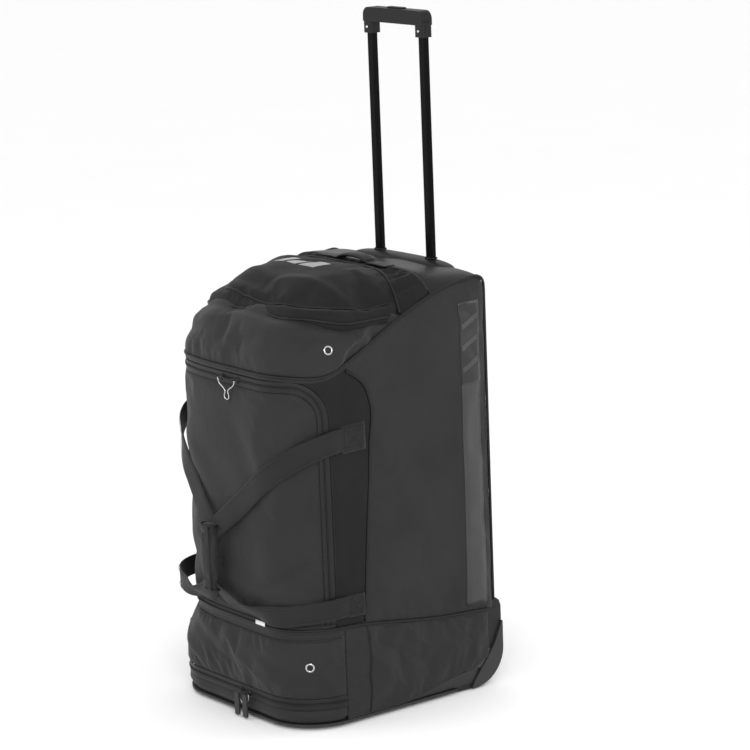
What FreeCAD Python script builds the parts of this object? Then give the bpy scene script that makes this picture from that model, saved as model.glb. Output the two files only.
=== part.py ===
import FreeCAD, Part
import math
import os

os.makedirs("parts", exist_ok=True)

# Wheeled gear bag standing on its wheels and skids, with the telescopic handle pulled out.
# Frame: +Z up, the front of the bag faces -Y, the wheels and the handle are at +Y, millimetres.

# ---- driving dimensions -------------------------------------------------------------------
half_width = 223.0          # bag body, side to side, half
front_y = -224.0            # front face
back_y = 258.0              # back face
front_corner = 105.0        # plan radius of the two front corners
back_corner = 25.0          # plan radius of the two back corners
wall = 4.0                  # padded fabric wall
top_z = 826.0               # top edge of the back
bottom_z = 12.0             # lowest fabric edge
lower_front_end = -119.0    # the front fabric of the shoe compartment ends here, on both sides
waist_front_z = 197.0       # height of the waist seam round the front
back_start_y = 233.0        # the back panel takes in everything behind this
far = 320.0                 # beyond the bag on every side, for cutting tools

slope_line = [(-310, 690), (-230, 690), (-138, 686), (-55, 722), (13, 758), (79, 788),
              (139, 811), (200, 822), (300, 828)]      # side view of the slanted top, (y, z)
waist_line = [(300, 152), (258, 156), (110, 167), (lower_front_end, waist_front_z), (-310, waist_front_z)]
seam_line = [(-110, 700), (-62, 668), (-38, 620), (-42, 540), (-60, 320), (-70, 190)]

door_bottom = 208.0
door_top = 668.0
door_side_y = -147.0        # where the door zip runs down the rounded corner
door_corner = 65.0
zip_gap = 1.0

band_bottom = 178.5         # folded band above the shoe flap
flap_top = 178.0
flap_bottom = 53.5
flap_side_y = -119.5
skirt_top = 50.0

pocket_low = 686.0          # foot of the top pocket at the front
pocket_top = 815.0          # rim of the top pocket
pocket_front_y = -150.0     # the rim's front edge
pocket_half = 214.0
lid_thick = 14.0
lid_hinge_y = 40.5
lid_seam_y = 90.0           # middle of the curved seam behind the lid
lid_seam_side_y = 42.0

tube_x = 80.5               # trolley tubes, half the spacing
tube_y = 234.0
tube_size = (20.0, 13.0)
outer_size = (24.0, 17.0)
outer_bottom = 90.0
outer_top = 826.0
inner_bottom = 740.0
inner_top = 1300.0
bar_low = 1305.6            # under side of the release bar
rod_end = 776.0             # lower end of the push rods, above the tube plugs
grip_half = 92.0
grip_bottom = 1271.0
grip_top = 1322.0

wheel_x = 196.0
wheel_y = 214.0
wheel_r = 52.0
wheel_width = 26.0
axle_r = 4.0
hub_r = 36.0
hub_web_r = 29.0            # the hub is hollowed between this and its boss
hub_boss_r = 15.0
hub_hole_r = 5.0            # five lightening holes on their own circle
hub_hole_circle = 22.0
well_side_gap = 3.5         # between the tyre and its housing
housing_inner_x = 171.0

eyelet_r = 8.5
eyelet_bore_r = 5.0

strap_gap = 5.0             # the carry straps stand this far off the front
strap_thick = 3.0
strap_width = 44.0
wrap_half = 26.0            # the legs start this far from the wrap's middle
wrap_x = -8.0
wrap_y = -256.0
wrap_low = 252.0
wrap_high = 384.0
haul_foot_x = 112.0         # where the top haul handle is sewn down, half the spacing
haul_y = 111.0
haul_crest = 852.0
haul_width = 22.0

V = FreeCAD.Vector
SIDES = (("left", -1.0), ("right", 1.0))


# ---- helpers --------------------------------------------------------------------------------
def save(shape, node):
    """One STEP file per sub-part, named after its node."""
    if shape.Volume <= 0 or not shape.isValid():
        print("bad solid", node, shape.Volume)
    shape.exportStep("parts/" + node + ".step")


def join(shapes):
    """Fuse touching shapes into one solid."""
    result = shapes[0]
    for shape in shapes[1:]:
        result = result.fuse(shape)
    return result.removeSplitter()


def box(x0, x1, y0, y1, z0, z1):
    return Part.makeBox(x1 - x0, y1 - y0, z1 - z0, V(x0, y0, z0))


def cylinder_x(radius, x0, x1, y, z):
    return Part.makeCylinder(radius, x1 - x0, V(x0, y, z), V(1, 0, 0))


def polygon_prism(points, direction):
    """Closed outline of 3-D points, extruded along a vector."""
    corners = [V(*p) for p in points]
    return Part.Face(Part.makePolygon(corners + corners[:1])).extrude(direction)


def side_prism(points, x0=-far, x1=far):
    """Outline of (y, z) points, extruded across the bag."""
    return polygon_prism([(x0, y, z) for y, z in points], V(x1 - x0, 0, 0))


def front_prism(points, y0=-400.0, y1=-20.0):
    """Outline of (x, z) points, extruded front to back."""
    return polygon_prism([(x, y0, z) for x, z in points], V(0, y1 - y0, 0))


def height_on(line, y):
    """Height of a side-view line at y."""
    pts = sorted(line)
    for (ya, za), (yb, zb) in zip(pts, pts[1:]):
        if ya <= y <= yb:
            return za + (zb - za) * (y - ya) / (yb - ya)
    return pts[0][1] if y < pts[0][0] else pts[-1][1]


def band(line, below, above):
    """Outline of the strip from `below` under a polyline to `above` over it."""
    left, right = [], []
    for i, (u, w) in enumerate(line):
        before = line[max(i - 1, 0)]
        after = line[min(i + 1, len(line) - 1)]
        du, dw = after[0] - before[0], after[1] - before[1]
        length = math.hypot(du, dw)
        nu, nw = -dw / length, du / length
        left.append((u + nu * above, w + nw * above))
        right.append((u - nu * below, w - nw * below))
    return left + right[::-1]


def below(line, depth=1200.0):
    ends = sorted(line)
    return side_prism(ends + [(ends[-1][0], ends[0][1] - depth), (ends[0][0], ends[0][1] - depth)])


def above(line, height=1200.0):
    ends = sorted(line)
    return side_prism(ends + [(ends[-1][0], ends[0][1] + height), (ends[0][0], ends[0][1] + height)])


def shifted(line, rise):
    return [(y, z + rise) for y, z in line]


def outline(half, y_front, y_back, r_front, r_back, z):
    """Bag-shaped plan outline: large front corners, small back corners."""
    def arc(cx, cy, r, start):
        angles = [math.radians(start + step) for step in (0, 45, 90)]
        return Part.Arc(*[V(cx + r * math.cos(t), cy + r * math.sin(t), z) for t in angles])
    corners = [arc(half - r_front, y_front + r_front, r_front, 270),
               arc(half - r_back, y_back - r_back, r_back, 0),
               arc(-half + r_back, y_back - r_back, r_back, 90),
               arc(-half + r_front, y_front + r_front, r_front, 180)]
    edges = []
    for i, corner in enumerate(corners):
        edges.append(corner.toShape())
        following = corners[(i + 1) % 4]
        edges.append(Part.LineSegment(corner.EndPoint, following.StartPoint).toShape())
    return Part.Wire(edges)


def plan(outset, z0, z1):
    """The bag's plan outline grown by `outset`, from z0 up to z1."""
    wire = outline(half_width + outset, front_y - outset, back_y + outset,
                   front_corner + outset, back_corner + outset, z0)
    return Part.Face(wire).extrude(V(0, 0, z1 - z0))


def ring(inner, outer, z0, z1):
    """Everything between two outsets of the plan outline."""
    return plan(outer, z0, z1).cut(plan(inner, z0 - 1, z1 + 1))


def rounded_bar(cx, cy, sx, sy, radius, z0, z1):
    """Upright bar with a rounded rectangular section."""
    bar = box(cx - sx / 2, cx + sx / 2, cy - sy / 2, cy + sy / 2, z0, z1)
    upright = [e for e in bar.Edges if abs(e.BoundBox.ZLength - (z1 - z0)) < 1e-6]
    return bar.makeFillet(radius, upright)


def rounded_edges(solid, radius, axis):
    """Round the edges of a box that run along X, Y or Z."""
    length = getattr(solid.BoundBox, axis + "Length")
    chosen = [e for e in solid.Edges if abs(getattr(e.BoundBox, axis + "Length") - length) < 1e-6
              and len(e.Vertexes) == 2]
    return solid.makeFillet(radius, chosen)


def mirror_x(shape):
    return shape.mirror(V(0, 0, 0), V(1, 0, 0))


def on_side(shape, sign):
    """A shape drawn for the +X side, on the wanted side."""
    return shape if sign > 0 else mirror_x(shape)


def half_space(sign):
    return box(0, 400, -400, 400, -50, 1400) if sign > 0 else box(-400, 0, -400, 400, -50, 1400)


# ---- envelopes that several parts share -------------------------------------------------------
def door_region(gap):
    """Where the big front door is, grown by a gap on its three zipped sides."""
    side_y = door_side_y + gap
    top = door_top + gap
    arch_low = door_top - door_corner
    edge_x = half_width - front_corner + math.sqrt(
        front_corner ** 2 - (door_side_y - front_y - front_corner) ** 2) + gap
    lower = box(-far, far, -far, side_y, door_bottom - gap, arch_low)
    arch = box(-edge_x, edge_x, -far, side_y, arch_low - 1, top)
    corners = [e for e in arch.Edges if abs(e.BoundBox.YLength - (side_y + far)) < 1e-6
               and e.BoundBox.ZMin > top - 1e-6]
    return lower.fuse(arch.makeFillet(door_corner + gap, corners))


def housing_outline():
    """Side view of a wheel housing: a rounded rear corner that stands out behind the bag."""
    centre_y, centre_z, r = 198.0, 76.0, 72.0
    def at(angle):
        return V(0, centre_y + r * math.cos(angle), centre_z + r * math.sin(angle))
    arc = Part.Arc(at(-math.pi / 2), at(-math.pi / 4), at(0))
    rest = [at(0), V(0, 270, 157), V(0, 266, 168), V(0, 257, 175), V(0, 225, 175),
            V(0, 225, 118), V(0, 152, 118), V(0, 152, 8), V(0, 158, 4), at(-math.pi / 2)]
    edges = [arc.toShape()]
    for start, end in zip(rest, rest[1:]):
        edges.append(Part.LineSegment(start, end).toShape())
    return Part.Face(Part.Wire(edges))


def housing_prism(x0, x1):
    solid = housing_outline().extrude(V(x1 - x0, 0, 0))
    solid.translate(V(x0, 0, 0))
    return solid


guard_line = [(183, -10), (194, 16), (213, 39), (232, 61), (251, 88), (268, 125), (300, 200)]


def behind_guard(gap, x0, x1):
    """The rear lower corner, behind the curved front edge of the wheel guard."""
    line = [(y - gap, z + gap * 0.6) for y, z in guard_line]
    return side_prism(line + [(330, 200), (330, -10)], x0, x1)


def pocket_shape(inset, z):
    """Half width, front and corner radius of the leaning top pocket at height z."""
    share = (z - pocket_low) / (pocket_top - pocket_low)
    half = half_width - 1 + (pocket_half - half_width + 1) * share - inset
    front = front_y + (pocket_front_y - front_y) * share + inset
    return half, front, front_corner - 3 * share - inset


def top_section(inset, z):
    """Plan outline of the top pocket at height z, pulled in by `inset`."""
    half, front, corner = pocket_shape(inset, z)
    return outline(half, front, 200.0 - inset, corner, 20.0, z)


def pocket_block(inset, z0, z1):
    """Solid of the top pocket between two heights, in front of its curved back seam."""
    block = Part.makeLoft([top_section(inset, z0), top_section(inset, z1)], True, True)
    sagitta = lid_seam_y - lid_seam_side_y
    radius = (half_width ** 2 + sagitta ** 2) / (2 * sagitta)
    reach = Part.makeCylinder(radius - inset, z1 - z0 + 2, V(0, lid_seam_y - radius, z0 - 1))
    return block.common(reach)


# ---- bag body: fabric walls --------------------------------------------------------------------
def fabric_walls():
    upper = ring(-wall, 0, 100, 900).common(below(slope_line)).common(above(waist_line))
    lower = ring(-wall, 0, bottom_z, 300).common(below(waist_line))
    behind = box(-far, far, back_start_y, far, 0, 900)
    corner = housing_prism(housing_inner_x, half_width + 1).fuse(behind_guard(1.0, 160, far))
    back = upper.common(behind).fuse(lower.common(behind)).removeSplitter()
    for _, sign in SIDES:
        back = back.cut(on_side(corner, sign))
    save(back, "back_panel")

    sides = upper.cut(behind)
    seam_low = seam_line[-1][1]
    ahead = side_prism(seam_line + [(-70, 100), (-330, 100), (-330, 700)])
    for name, sign in SIDES:
        panel = sides.cut(ahead).common(half_space(sign))
        panel = panel.cut(box(-150, 150, -far, far, 0, 900))
        save(panel, "side_panel_" + name)
        front = sides.common(ahead)
        strip = front.common(box(-far, far, door_side_y, 100, seam_low - 90, 900))
        strip = strip.common(half_space(sign)).cut(door_region(zip_gap))
        save(strip, "front_strip_" + name)
        low = lower.cut(behind).common(box(-far, far, lower_front_end, far, 0, 300)).common(half_space(sign))
        low = low.cut(on_side(behind_guard(1.0, 160, far), sign))
        save(low, "shoe_side_" + name)

    front = sides.common(ahead).common(box(-far, far, -far, door_side_y, 400, 900))
    save(front.cut(door_region(zip_gap)), "front_header")
    sill = side_prism([(-330, band_bottom), (lower_front_end, band_bottom),
                       (lower_front_end, waist_front_z), (door_side_y, waist_front_z),
                       (door_side_y, door_bottom - zip_gap), (-330, door_bottom - zip_gap)])
    save(ring(-wall, 0, 100, 300).common(sill), "front_sill")
    skirt = ring(-wall, 0, bottom_z, skirt_top).common(box(-far, far, -far, lower_front_end, 0, 60))
    save(skirt, "front_skirt")


def crown_and_floors():
    inside = plan(-wall, 500, 900)
    sheet = side_prism(band(slope_line, 4.0, 0.0))
    tube_slots = [rounded_bar(s * tube_x, tube_y, 26, 19, 5, 780, 860) for _, s in SIDES]
    crown = sheet.common(inside).common(box(-far, far, 96, far, 500, 900))
    for slot in tube_slots:
        crown = crown.cut(slot)
    save(crown, "crown_panel")
    floor = sheet.common(inside).common(box(-far, far, -far, 95.5, 500, 900))
    save(floor, "pocket_floor")

    divider = plan(-wall - 0.5, 198, 201).common(box(-far, far, -far, 214.5, 190, 210))
    save(divider, "divider_floor")
    save(box(-212, 212, 215, 217, 201, 800), "trolley_lining")
    save(box(-212, 212, 243.5, 246.5, 180, 812), "back_board")


def top_pocket():
    slope_top = above(slope_line)
    outer = pocket_block(0, 670, pocket_top).common(slope_top)
    inner = pocket_block(wall, 660, pocket_top - wall).common(above(shifted(slope_line, -2)))
    mouth = pocket_block(16, pocket_top - wall - 1, pocket_top + 1)
    mouth = mouth.common(box(-far, far, -far, lid_hinge_y - 8, 700, 900))
    shell = outer.cut(inner).cut(mouth)
    for _, sign in SIDES:
        shell = shell.cut(eyelet_bore(top_eyelet(sign)))
    apron = pocket_block(0, pocket_top, pocket_top + 1 + lid_thick)
    apron = apron.common(box(-far, far, lid_hinge_y + 0.5, far, 700, 900))
    save(join([shell, apron]), "top_pocket_wall")


def top_lid():
    """Padded lid with a storm flap that hangs over the zip round the pocket's rim."""
    low = pocket_top + 1
    plate = pocket_block(-3.5, low, low + lid_thick)
    plate = plate.common(box(-far, far, -far, lid_hinge_y, 700, 900))
    flap = pocket_block(-3.5, low - 16, low).cut(pocket_block(-1, low - 17, low + 1))
    flap = flap.common(box(-far, far, -far, lid_hinge_y - 12, 700, 900))
    save(join([plate, flap]), "lid_panel")


def door():
    walls = ring(-wall, 0, 150, 700)
    save(walls.common(door_region(0)), "door_panel")
    edge = ring(0, 1.5, 150, 700)
    tape = edge.common(door_region(0)).cut(door_region(-9.0).fuse(
        box(-205, 205, -far, -100, door_bottom - 5, door_bottom + 12)))
    save(tape, "door_zip_tape")
    frame = edge.common(door_region(10.0)).cut(door_region(zip_gap))
    frame = frame.cut(box(-far, far, -far, 0, 100, door_bottom))
    skirt = ring(0, 1.5, 20, 200).common(box(-far, far, -far, lower_front_end, 41, skirt_top))
    save(Part.makeCompound(frame.Solids + skirt.Solids), "frame_zip_tapes")


def shoe_flap():
    region = box(-far, far, -far, flap_side_y, flap_bottom, flap_top)
    panel = ring(-wall, 0, 20, 200).common(region)
    for _, sign in SIDES:
        panel = panel.cut(eyelet_bore(low_eyelet(sign)))
    save(panel, "shoe_flap_panel")
    save(ring(0, 1.5, 20, 200).common(box(-far, far, -far, flap_side_y, flap_bottom, 62)),
         "shoe_flap_zip_tape")


# ---- trim: piping, stripes, eyelets, labels -----------------------------------------------------
def piping():
    """Round beads sewn over the main seams: slanted top, waist and the two side seams."""
    bead = ring(0, 2.5, 100, 900)
    behind = box(-far, far, back_start_y, far, 0, 900)
    top_strip = side_prism(band(slope_line[1:], 2.6, 2.6))
    waist_strip = side_prism(band(waist_line, 2.6, 2.6))
    top = bead.common(top_strip).cut(behind)
    waist = bead.common(waist_strip).cut(behind)
    seam = bead.common(side_prism(band(seam_line[1:], 1.3, 1.3)))
    seam = seam.cut(box(-150, 150, -far, far, 0, 900)).cut(top_strip).cut(waist_strip)
    save(Part.makeCompound([top, waist] + seam.Solids), "body_piping")


def low_eyelet(sign):
    """Centre and outward direction of the vent eyelet on the shoe flap's corner."""
    turn = math.radians(-39.0)
    out = V(math.cos(turn), math.sin(turn), 0)
    centre = V(half_width - front_corner, front_y + front_corner, 130.0)
    point = centre + out * front_corner
    return V(point.x * sign, point.y, point.z), V(out.x * sign, out.y, 0)


def top_eyelet(sign):
    """The same for the leaning corner of the top pocket."""
    z = 735.0
    turn = math.radians(-17.0)
    half, front, corner = pocket_shape(0, z)
    out = V(math.cos(turn), math.sin(turn), 0)
    point = V(half - corner, front + corner, z) + out * corner
    higher_half, higher_front, higher_corner = pocket_shape(0, z + 10)
    higher = V(higher_half - higher_corner, higher_front + higher_corner, z + 10) + out * higher_corner
    lean = (point - higher).dot(out) / 10
    normal = V(out.x * sign, out.y, lean)
    normal.normalize()
    return V(point.x * sign, point.y, z), normal


def eyelet_bore(place):
    point, out = place
    return Part.makeCylinder(eyelet_bore_r, 24, point - out * 12, out)


def eyelet_ring(place):
    point, out = place
    disc = Part.makeCylinder(eyelet_r, 1.6, point + out * 0.1, out)
    rims = [e for e in disc.Edges if len(e.Vertexes) == 1 and e.Length > 6 * eyelet_r]
    return disc.makeFillet(0.6, rims).cut(eyelet_bore(place))


def trim():
    save(Part.makeCompound([eyelet_ring(low_eyelet(sign)) for _, sign in SIDES]), "eyelets_lower")
    save(Part.makeCompound([eyelet_ring(top_eyelet(sign)) for _, sign in SIDES]), "eyelets_upper")
    patches = []
    for _, sign in SIDES:
        for line in ([(-110, 530), (-112, 585), (-56, 588), (-54, 540)],
                     [(-112, 216), (-110, 258), (-71, 256), (-71, 214)]):
            patches.append(on_side(side_prism(line, half_width, half_width + 2.0), sign))
        pad = box(haul_foot_x - 24, haul_foot_x + 12, 92, 130, 780, 830)
        pad = side_prism(band(slope_line, 0.0, 1.5)).common(pad)
        patches.append(on_side(pad, sign))
    save(Part.makeCompound(patches), "strap_patches")


# ---- base, wheels ----------------------------------------------------------------------------------
def base():
    tray = plan(-0.5, 8, 12).cut(box(-far, far, 148, far, 0, 60))
    bridge = box(-168, 168, 140, 250, 8, 12)
    save(join([tray, bridge]), "base_tray")
    skids = []
    for _, sign in SIDES:
        foot = rounded_edges(box(110, 150, -196, -168, 0, 8), 5, "Z")
        skids.append(on_side(foot, sign))
    rails = [box(x - 6, x + 6, -150, 130, 3, 8) for x in (-90, 0, 90)]
    save(Part.makeCompound(skids + rails), "base_skids")


def wheel_set(name, sign):
    tyre = cylinder_x(wheel_r, wheel_x - wheel_width / 2, wheel_x + wheel_width / 2, wheel_y, wheel_r)
    tyre = tyre.makeFillet(5, [e for e in tyre.Edges if len(e.Vertexes) == 1 and e.Length > 300])
    bore = cylinder_x(hub_r, 150, 250, wheel_y, wheel_r)
    save(on_side(tyre.cut(bore), sign), "tyre_" + name)

    hub_x0, hub_x1 = wheel_x - 11, wheel_x + 11
    hub = cylinder_x(hub_r, hub_x0, hub_x1, wheel_y, wheel_r)
    hub = hub.cut(cylinder_x(hub_web_r, hub_x0 - 1, wheel_x - 3, wheel_y, wheel_r).cut(
        cylinder_x(hub_boss_r, hub_x0 - 2, wheel_x, wheel_y, wheel_r)))
    hub = hub.cut(cylinder_x(hub_web_r, wheel_x + 3, hub_x1 + 1, wheel_y, wheel_r).cut(
        cylinder_x(hub_boss_r, wheel_x, hub_x1 + 2, wheel_y, wheel_r)))
    for k in range(5):
        turn = 2 * math.pi * k / 5
        hole_y = wheel_y + hub_hole_circle * math.cos(turn)
        hole_z = wheel_r + hub_hole_circle * math.sin(turn)
        hub = hub.cut(cylinder_x(hub_hole_r, hub_x0 - 1, hub_x1 + 1, hole_y, hole_z))
    hub = hub.cut(cylinder_x(axle_r + 0.15, hub_x0 - 1, hub_x1 + 1, wheel_y, wheel_r))
    save(on_side(hub, sign), "wheel_hub_" + name)


def wheel_housing(name, sign):
    inner_face = wheel_x - wheel_width / 2 - well_side_gap
    outer_face = wheel_x + wheel_width / 2 + well_side_gap
    block = housing_prism(inner_face - 5, outer_face + 4.5)
    well = cylinder_x(wheel_r + 5, inner_face, outer_face, wheel_y, wheel_r)
    well = well.fuse(box(inner_face, outer_face, wheel_y - wheel_r - 5, 290, -10, wheel_r))
    axle_bore = cylinder_x(axle_r, 150, outer_face + 1, wheel_y, wheel_r)
    save(on_side(block.cut(well).cut(axle_bore), sign), "wheel_housing_" + name)


def wheel_trim():
    """Grey corner guards and the axles, one of each per side."""
    inner_face = wheel_x - wheel_width / 2 - well_side_gap
    cheek_face = wheel_x + wheel_width / 2 + 8
    guards, axles = [], []
    for _, sign in SIDES:
        guard = housing_prism(cheek_face, half_width - 1).common(behind_guard(0, 150, far))
        guards.append(on_side(guard.cut(box(150, far, 260, 300, 126, 300)), sign))
        axle = cylinder_x(axle_r, inner_face - 5, cheek_face - 3.5, wheel_y, wheel_r)
        head = cylinder_x(axle_r + 3, inner_face - 8, inner_face - 5, wheel_y, wheel_r)
        axles.append(on_side(join([axle, head]), sign))
    save(Part.makeCompound(guards), "wheel_guards")
    save(Part.makeCompound(axles), "wheel_axles")


# ---- trolley handle ------------------------------------------------------------------------------------
def trolley_fixed():
    tubes = []
    for _, sign in SIDES:
        tube = rounded_bar(tube_x, tube_y, outer_size[0], outer_size[1], 5, outer_bottom, outer_top)
        tube = tube.cut(rounded_bar(tube_x, tube_y, tube_size[0] + 0.8, tube_size[1] + 0.8, 4,
                                    outer_bottom - 1, outer_top + 1))
        slot = box(tube_x - 20, tube_x - 6, tube_y - 3.5, tube_y + 3.5, 300, 800)
        tubes.append(on_side(tube.cut(slot), sign))
    save(Part.makeCompound(tubes), "outer_tubes")

    bezel = box(-132, 132, 200, 256, top_z, 842)
    top_edges = [e for e in bezel.Edges if e.BoundBox.ZMin > 841]
    bezel = bezel.makeFillet(9, top_edges)
    for _, sign in SIDES:
        bezel = bezel.cut(rounded_bar(sign * tube_x, tube_y, tube_size[0] + 1.0, tube_size[1] + 1.0, 4,
                                      800, 860))
    save(bezel, "handle_bezel")

    foot = rounded_edges(box(-104, 104, 222, 243, 72, outer_bottom), 4, "Z")
    save(foot, "tube_foot")


def trolley_moving():
    tubes, plugs, springs = [], [], []
    for name, sign in SIDES:
        tube = rounded_bar(tube_x, tube_y, tube_size[0], tube_size[1], 3.8, inner_bottom, inner_top)
        tube = tube.cut(rounded_bar(tube_x, tube_y, tube_size[0] - 2.4, tube_size[1] - 2.4, 2.8,
                                    inner_bottom - 1, inner_top + 1))
        pin_hole = box(tube_x - 14, tube_x + 5, tube_y - 3.2, tube_y + 3.2, 752, 764)
        tubes.append(on_side(tube.cut(pin_hole), sign))
        plug = rounded_bar(tube_x, tube_y, tube_size[0] - 2.8, tube_size[1] - 2.8, 2.6,
                           inner_bottom, inner_bottom + 32)
        plug = plug.cut(pin_hole).cut(Part.makeCylinder(2.6, 40, V(tube_x, tube_y, 757)))
        plugs.append(on_side(plug, sign))
        pin = rounded_edges(box(tube_x - 12.2, tube_x - 3, tube_y - 2.9, tube_y + 2.9, 753, 763), 1.5, "X")
        save(on_side(pin, sign), "lock_pin_" + name)
        spring = cylinder_x(2.2, tube_x - 2.8, tube_x + 4.8, tube_y, 758)
        springs.append(on_side(spring.cut(cylinder_x(1.4, tube_x - 4, tube_x + 6, tube_y, 758)), sign))
    save(Part.makeCompound(tubes), "inner_tubes")
    save(Part.makeCompound(plugs), "tube_plugs")
    coil = Part.makeCylinder(3.0, 6.8, V(0, tube_y, 1297.1))
    springs.append(coil.cut(Part.makeCylinder(2.2, 8, V(0, tube_y, 1296.5))))
    save(Part.makeCompound(springs), "handle_springs")
    grip()
    release()


def grip():
    """Hollow grip with a sleeve round each tube, moulded as a front and a rear half."""
    body = box(-grip_half, grip_half, tube_y - 13, tube_y + 13, 1294, grip_top)
    shoulders = [e for e in body.Edges if e.BoundBox.YLength > 25 and e.BoundBox.ZMin > grip_top - 1]
    body = body.makeFillet(16, shoulders)
    for _, sign in SIDES:
        sleeve = rounded_bar(sign * tube_x, tube_y, 28, 24, 6, grip_bottom, 1300)
        body = body.fuse(sleeve)
    body = body.removeSplitter()
    hollow = box(-88, 88, tube_y - 8, tube_y + 8, 1297, 1315)
    tubes = [rounded_bar(sign * tube_x, tube_y, tube_size[0], tube_size[1], 3.8, 1260, inner_top)
             for _, sign in SIDES]
    button_slot = box(-24.4, 24.4, tube_y - 6.4, tube_y + 6.4, 1310, 1330)
    body = body.cut(hollow).cut(button_slot)
    for tube in tubes:
        body = body.cut(tube)
    save(body.common(box(-200, 200, 100, tube_y, 1200, 1400)), "grip_front")
    save(body.common(box(-200, 200, tube_y, 300, 1200, 1400)), "grip_rear")


def release():
    """Button on top of the grip, on a bar with a push rod down each tube."""
    button = rounded_edges(box(-24, 24, tube_y - 6, tube_y + 6, 1309, 1325), 3, "Z")
    save(button, "release_button")
    bar = box(-84, 84, tube_y - 3, tube_y + 3, bar_low, 1309)
    rods = [Part.makeCylinder(2.0, bar_low - rod_end, V(sign * tube_x, tube_y, rod_end)) for _, sign in SIDES]
    save(join([bar] + rods), "push_rods")


# ---- carry straps and haul handle ------------------------------------------------------------------------
def strap_leg(points, half_band):
    """Webbing laid round the front corner, in the band about a front-view line."""
    layer = ring(strap_gap, strap_gap + strap_thick, 150, 650)
    return layer.common(front_prism(band(points, half_band, half_band), -400, -75))


def carry_strap(sign, dip):
    """Upper and lower leg of one side's webbing, with the ends that are sewn to the side."""
    start = wrap_x * sign + wrap_half
    upper = [(start, 372), (70, 412), (150, 474), (212, 535), (226, 552), (240, 560)]
    lower = [(start, 262), (70, dip), (140, 214), (205, 226), (240, 236)]
    pieces = [strap_leg([(sign * x, z) for x, z in upper], strap_width / 2),
              strap_leg([(sign * x, z) for x, z in lower], strap_width / 2 - 2)]
    outer_x = half_width + strap_gap + strap_thick
    for end_y, z0, z1 in ((-58, 534, 582), (-73, 218, 254)):
        pieces.append(on_side(box(half_width + 2.3, outer_x, -108, end_y, z0, z1), sign))
    return join(pieces)


def straps():
    save(carry_strap(1.0, 226), "carry_strap_right")
    save(carry_strap(-1.0, 230), "carry_strap_left")
    wrap = rounded_edges(box(wrap_x - 23, wrap_x + 23, wrap_y - 14, wrap_y + 14, wrap_low, wrap_high),
                         11, "Z")
    save(wrap, "handle_wrap")


def haul_handle():
    """Webbing arch that tips about the line through its two sewn ends."""
    y0 = haul_y - haul_width / 2
    end_r = haul_width / 2
    axis_z = height_on(slope_line, haul_y) + end_r + 2.5
    outer_pts = [V(-haul_foot_x, y0, axis_z), V(0, y0, haul_crest), V(haul_foot_x, y0, axis_z)]
    inner_pts = [V(-haul_foot_x + 12, y0, axis_z), V(0, y0, haul_crest - 9), V(haul_foot_x - 12, y0, axis_z)]
    outer_arc = Part.Arc(*outer_pts).toShape()
    inner_arc = Part.Arc(*inner_pts).toShape()
    links = [Part.LineSegment(outer_pts[0], inner_pts[0]).toShape(),
             Part.LineSegment(outer_pts[2], inner_pts[2]).toShape()]
    face = Part.Face(Part.Wire(Part.__sortEdges__([outer_arc, inner_arc] + links)))
    arch = face.extrude(V(0, haul_width, 0))
    ends = [on_side(cylinder_x(end_r, haul_foot_x - 12, haul_foot_x, haul_y, axis_z), sign)
            for _, sign in SIDES]
    save(join([arch] + ends), "haul_handle")


# ---- zip sliders and their pulls ------------------------------------------------------------------------
def wire_loop(points, radius):
    """Bent wire of round section along a polyline."""
    pieces = []
    for start, end in zip(points, points[1:]):
        a, b = V(*start), V(*end)
        pieces.append(Part.makeCylinder(radius, (b - a).Length, a, b - a))
        pieces.append(Part.makeSphere(radius, b))
    return join(pieces)


def omega_wire(cx, y, top, width, height):
    """Keyhole-shaped puller wire hanging from two sliders, in a plane of constant y."""
    w = width / 2
    shape = [(cx - w, top), (cx - w * 0.85, top - height * 0.28), (cx - w * 0.28, top - height * 0.48),
             (cx - w * 0.16, top - height * 0.66), (cx - w * 0.26, top - height * 0.84),
             (cx, top - height), (cx + w * 0.26, top - height * 0.84), (cx + w * 0.16, top - height * 0.66),
             (cx + w * 0.28, top - height * 0.48), (cx + w * 0.85, top - height * 0.28), (cx + w, top)]
    return wire_loop([(x, y, z) for x, z in shape], 1.3)


def slider_pair(cx, spread, z):
    """Two zip sliders joined by a bar, standing on the zip tapes at the front."""
    face = front_y - 1.5
    parts = []
    for sign in (-1, 1):
        x = cx + sign * spread / 2
        shoe = box(x - 8, x + 8, face - 3.7, face - 0.4, z - 5, z + 5)
        parts.append(rounded_edges(shoe, 2.5, "Y"))
    parts.append(box(cx - spread / 2, cx + spread / 2, face - 6.5, face - 3.7, z - 2.5, z + 2.5))
    return join(parts)


def zip_hardware():
    save(slider_pair(38, 50, door_top + 0.5), "main_zip_sliders")
    save(omega_wire(38, front_y - 11, door_top + 1, 56, 39), "main_zip_wire")
    save(slider_pair(40, 26, 51.7), "shoe_zip_sliders")
    save(omega_wire(44, front_y - 10.5, 50, 34, 42), "shoe_zip_wire")
    tabs = [rounded_edges(box(x - 7, x + 7, front_y - 16, front_y - 12.5, 4, 50), 4, "Y") for x in (27, 53)]
    save(Part.makeCompound(tabs), "shoe_pull_tabs")
    turn = math.acos((half_width - front_corner - 219.2) / -front_corner)
    out = V(-math.cos(turn), -math.sin(turn), 0)
    base_point = V(-(half_width - front_corner), front_y + front_corner, 412) + out * (front_corner + 1.9)
    shoe = rounded_edges(box(-5, 5, 0, 5, -9, 9), 2.5, "Y")
    tab = rounded_edges(box(-6.5, 6.5, 5.6, 8.6, -46, 0), 4, "Y")
    spin = FreeCAD.Rotation(V(0, 1, 0), out)
    for solid, node in ((shoe, "side_zip_slider"), (tab, "side_pull_tab")):
        placed = solid.copy()
        placed.Placement = FreeCAD.Placement(base_point, spin)
        save(placed, node)


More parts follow.
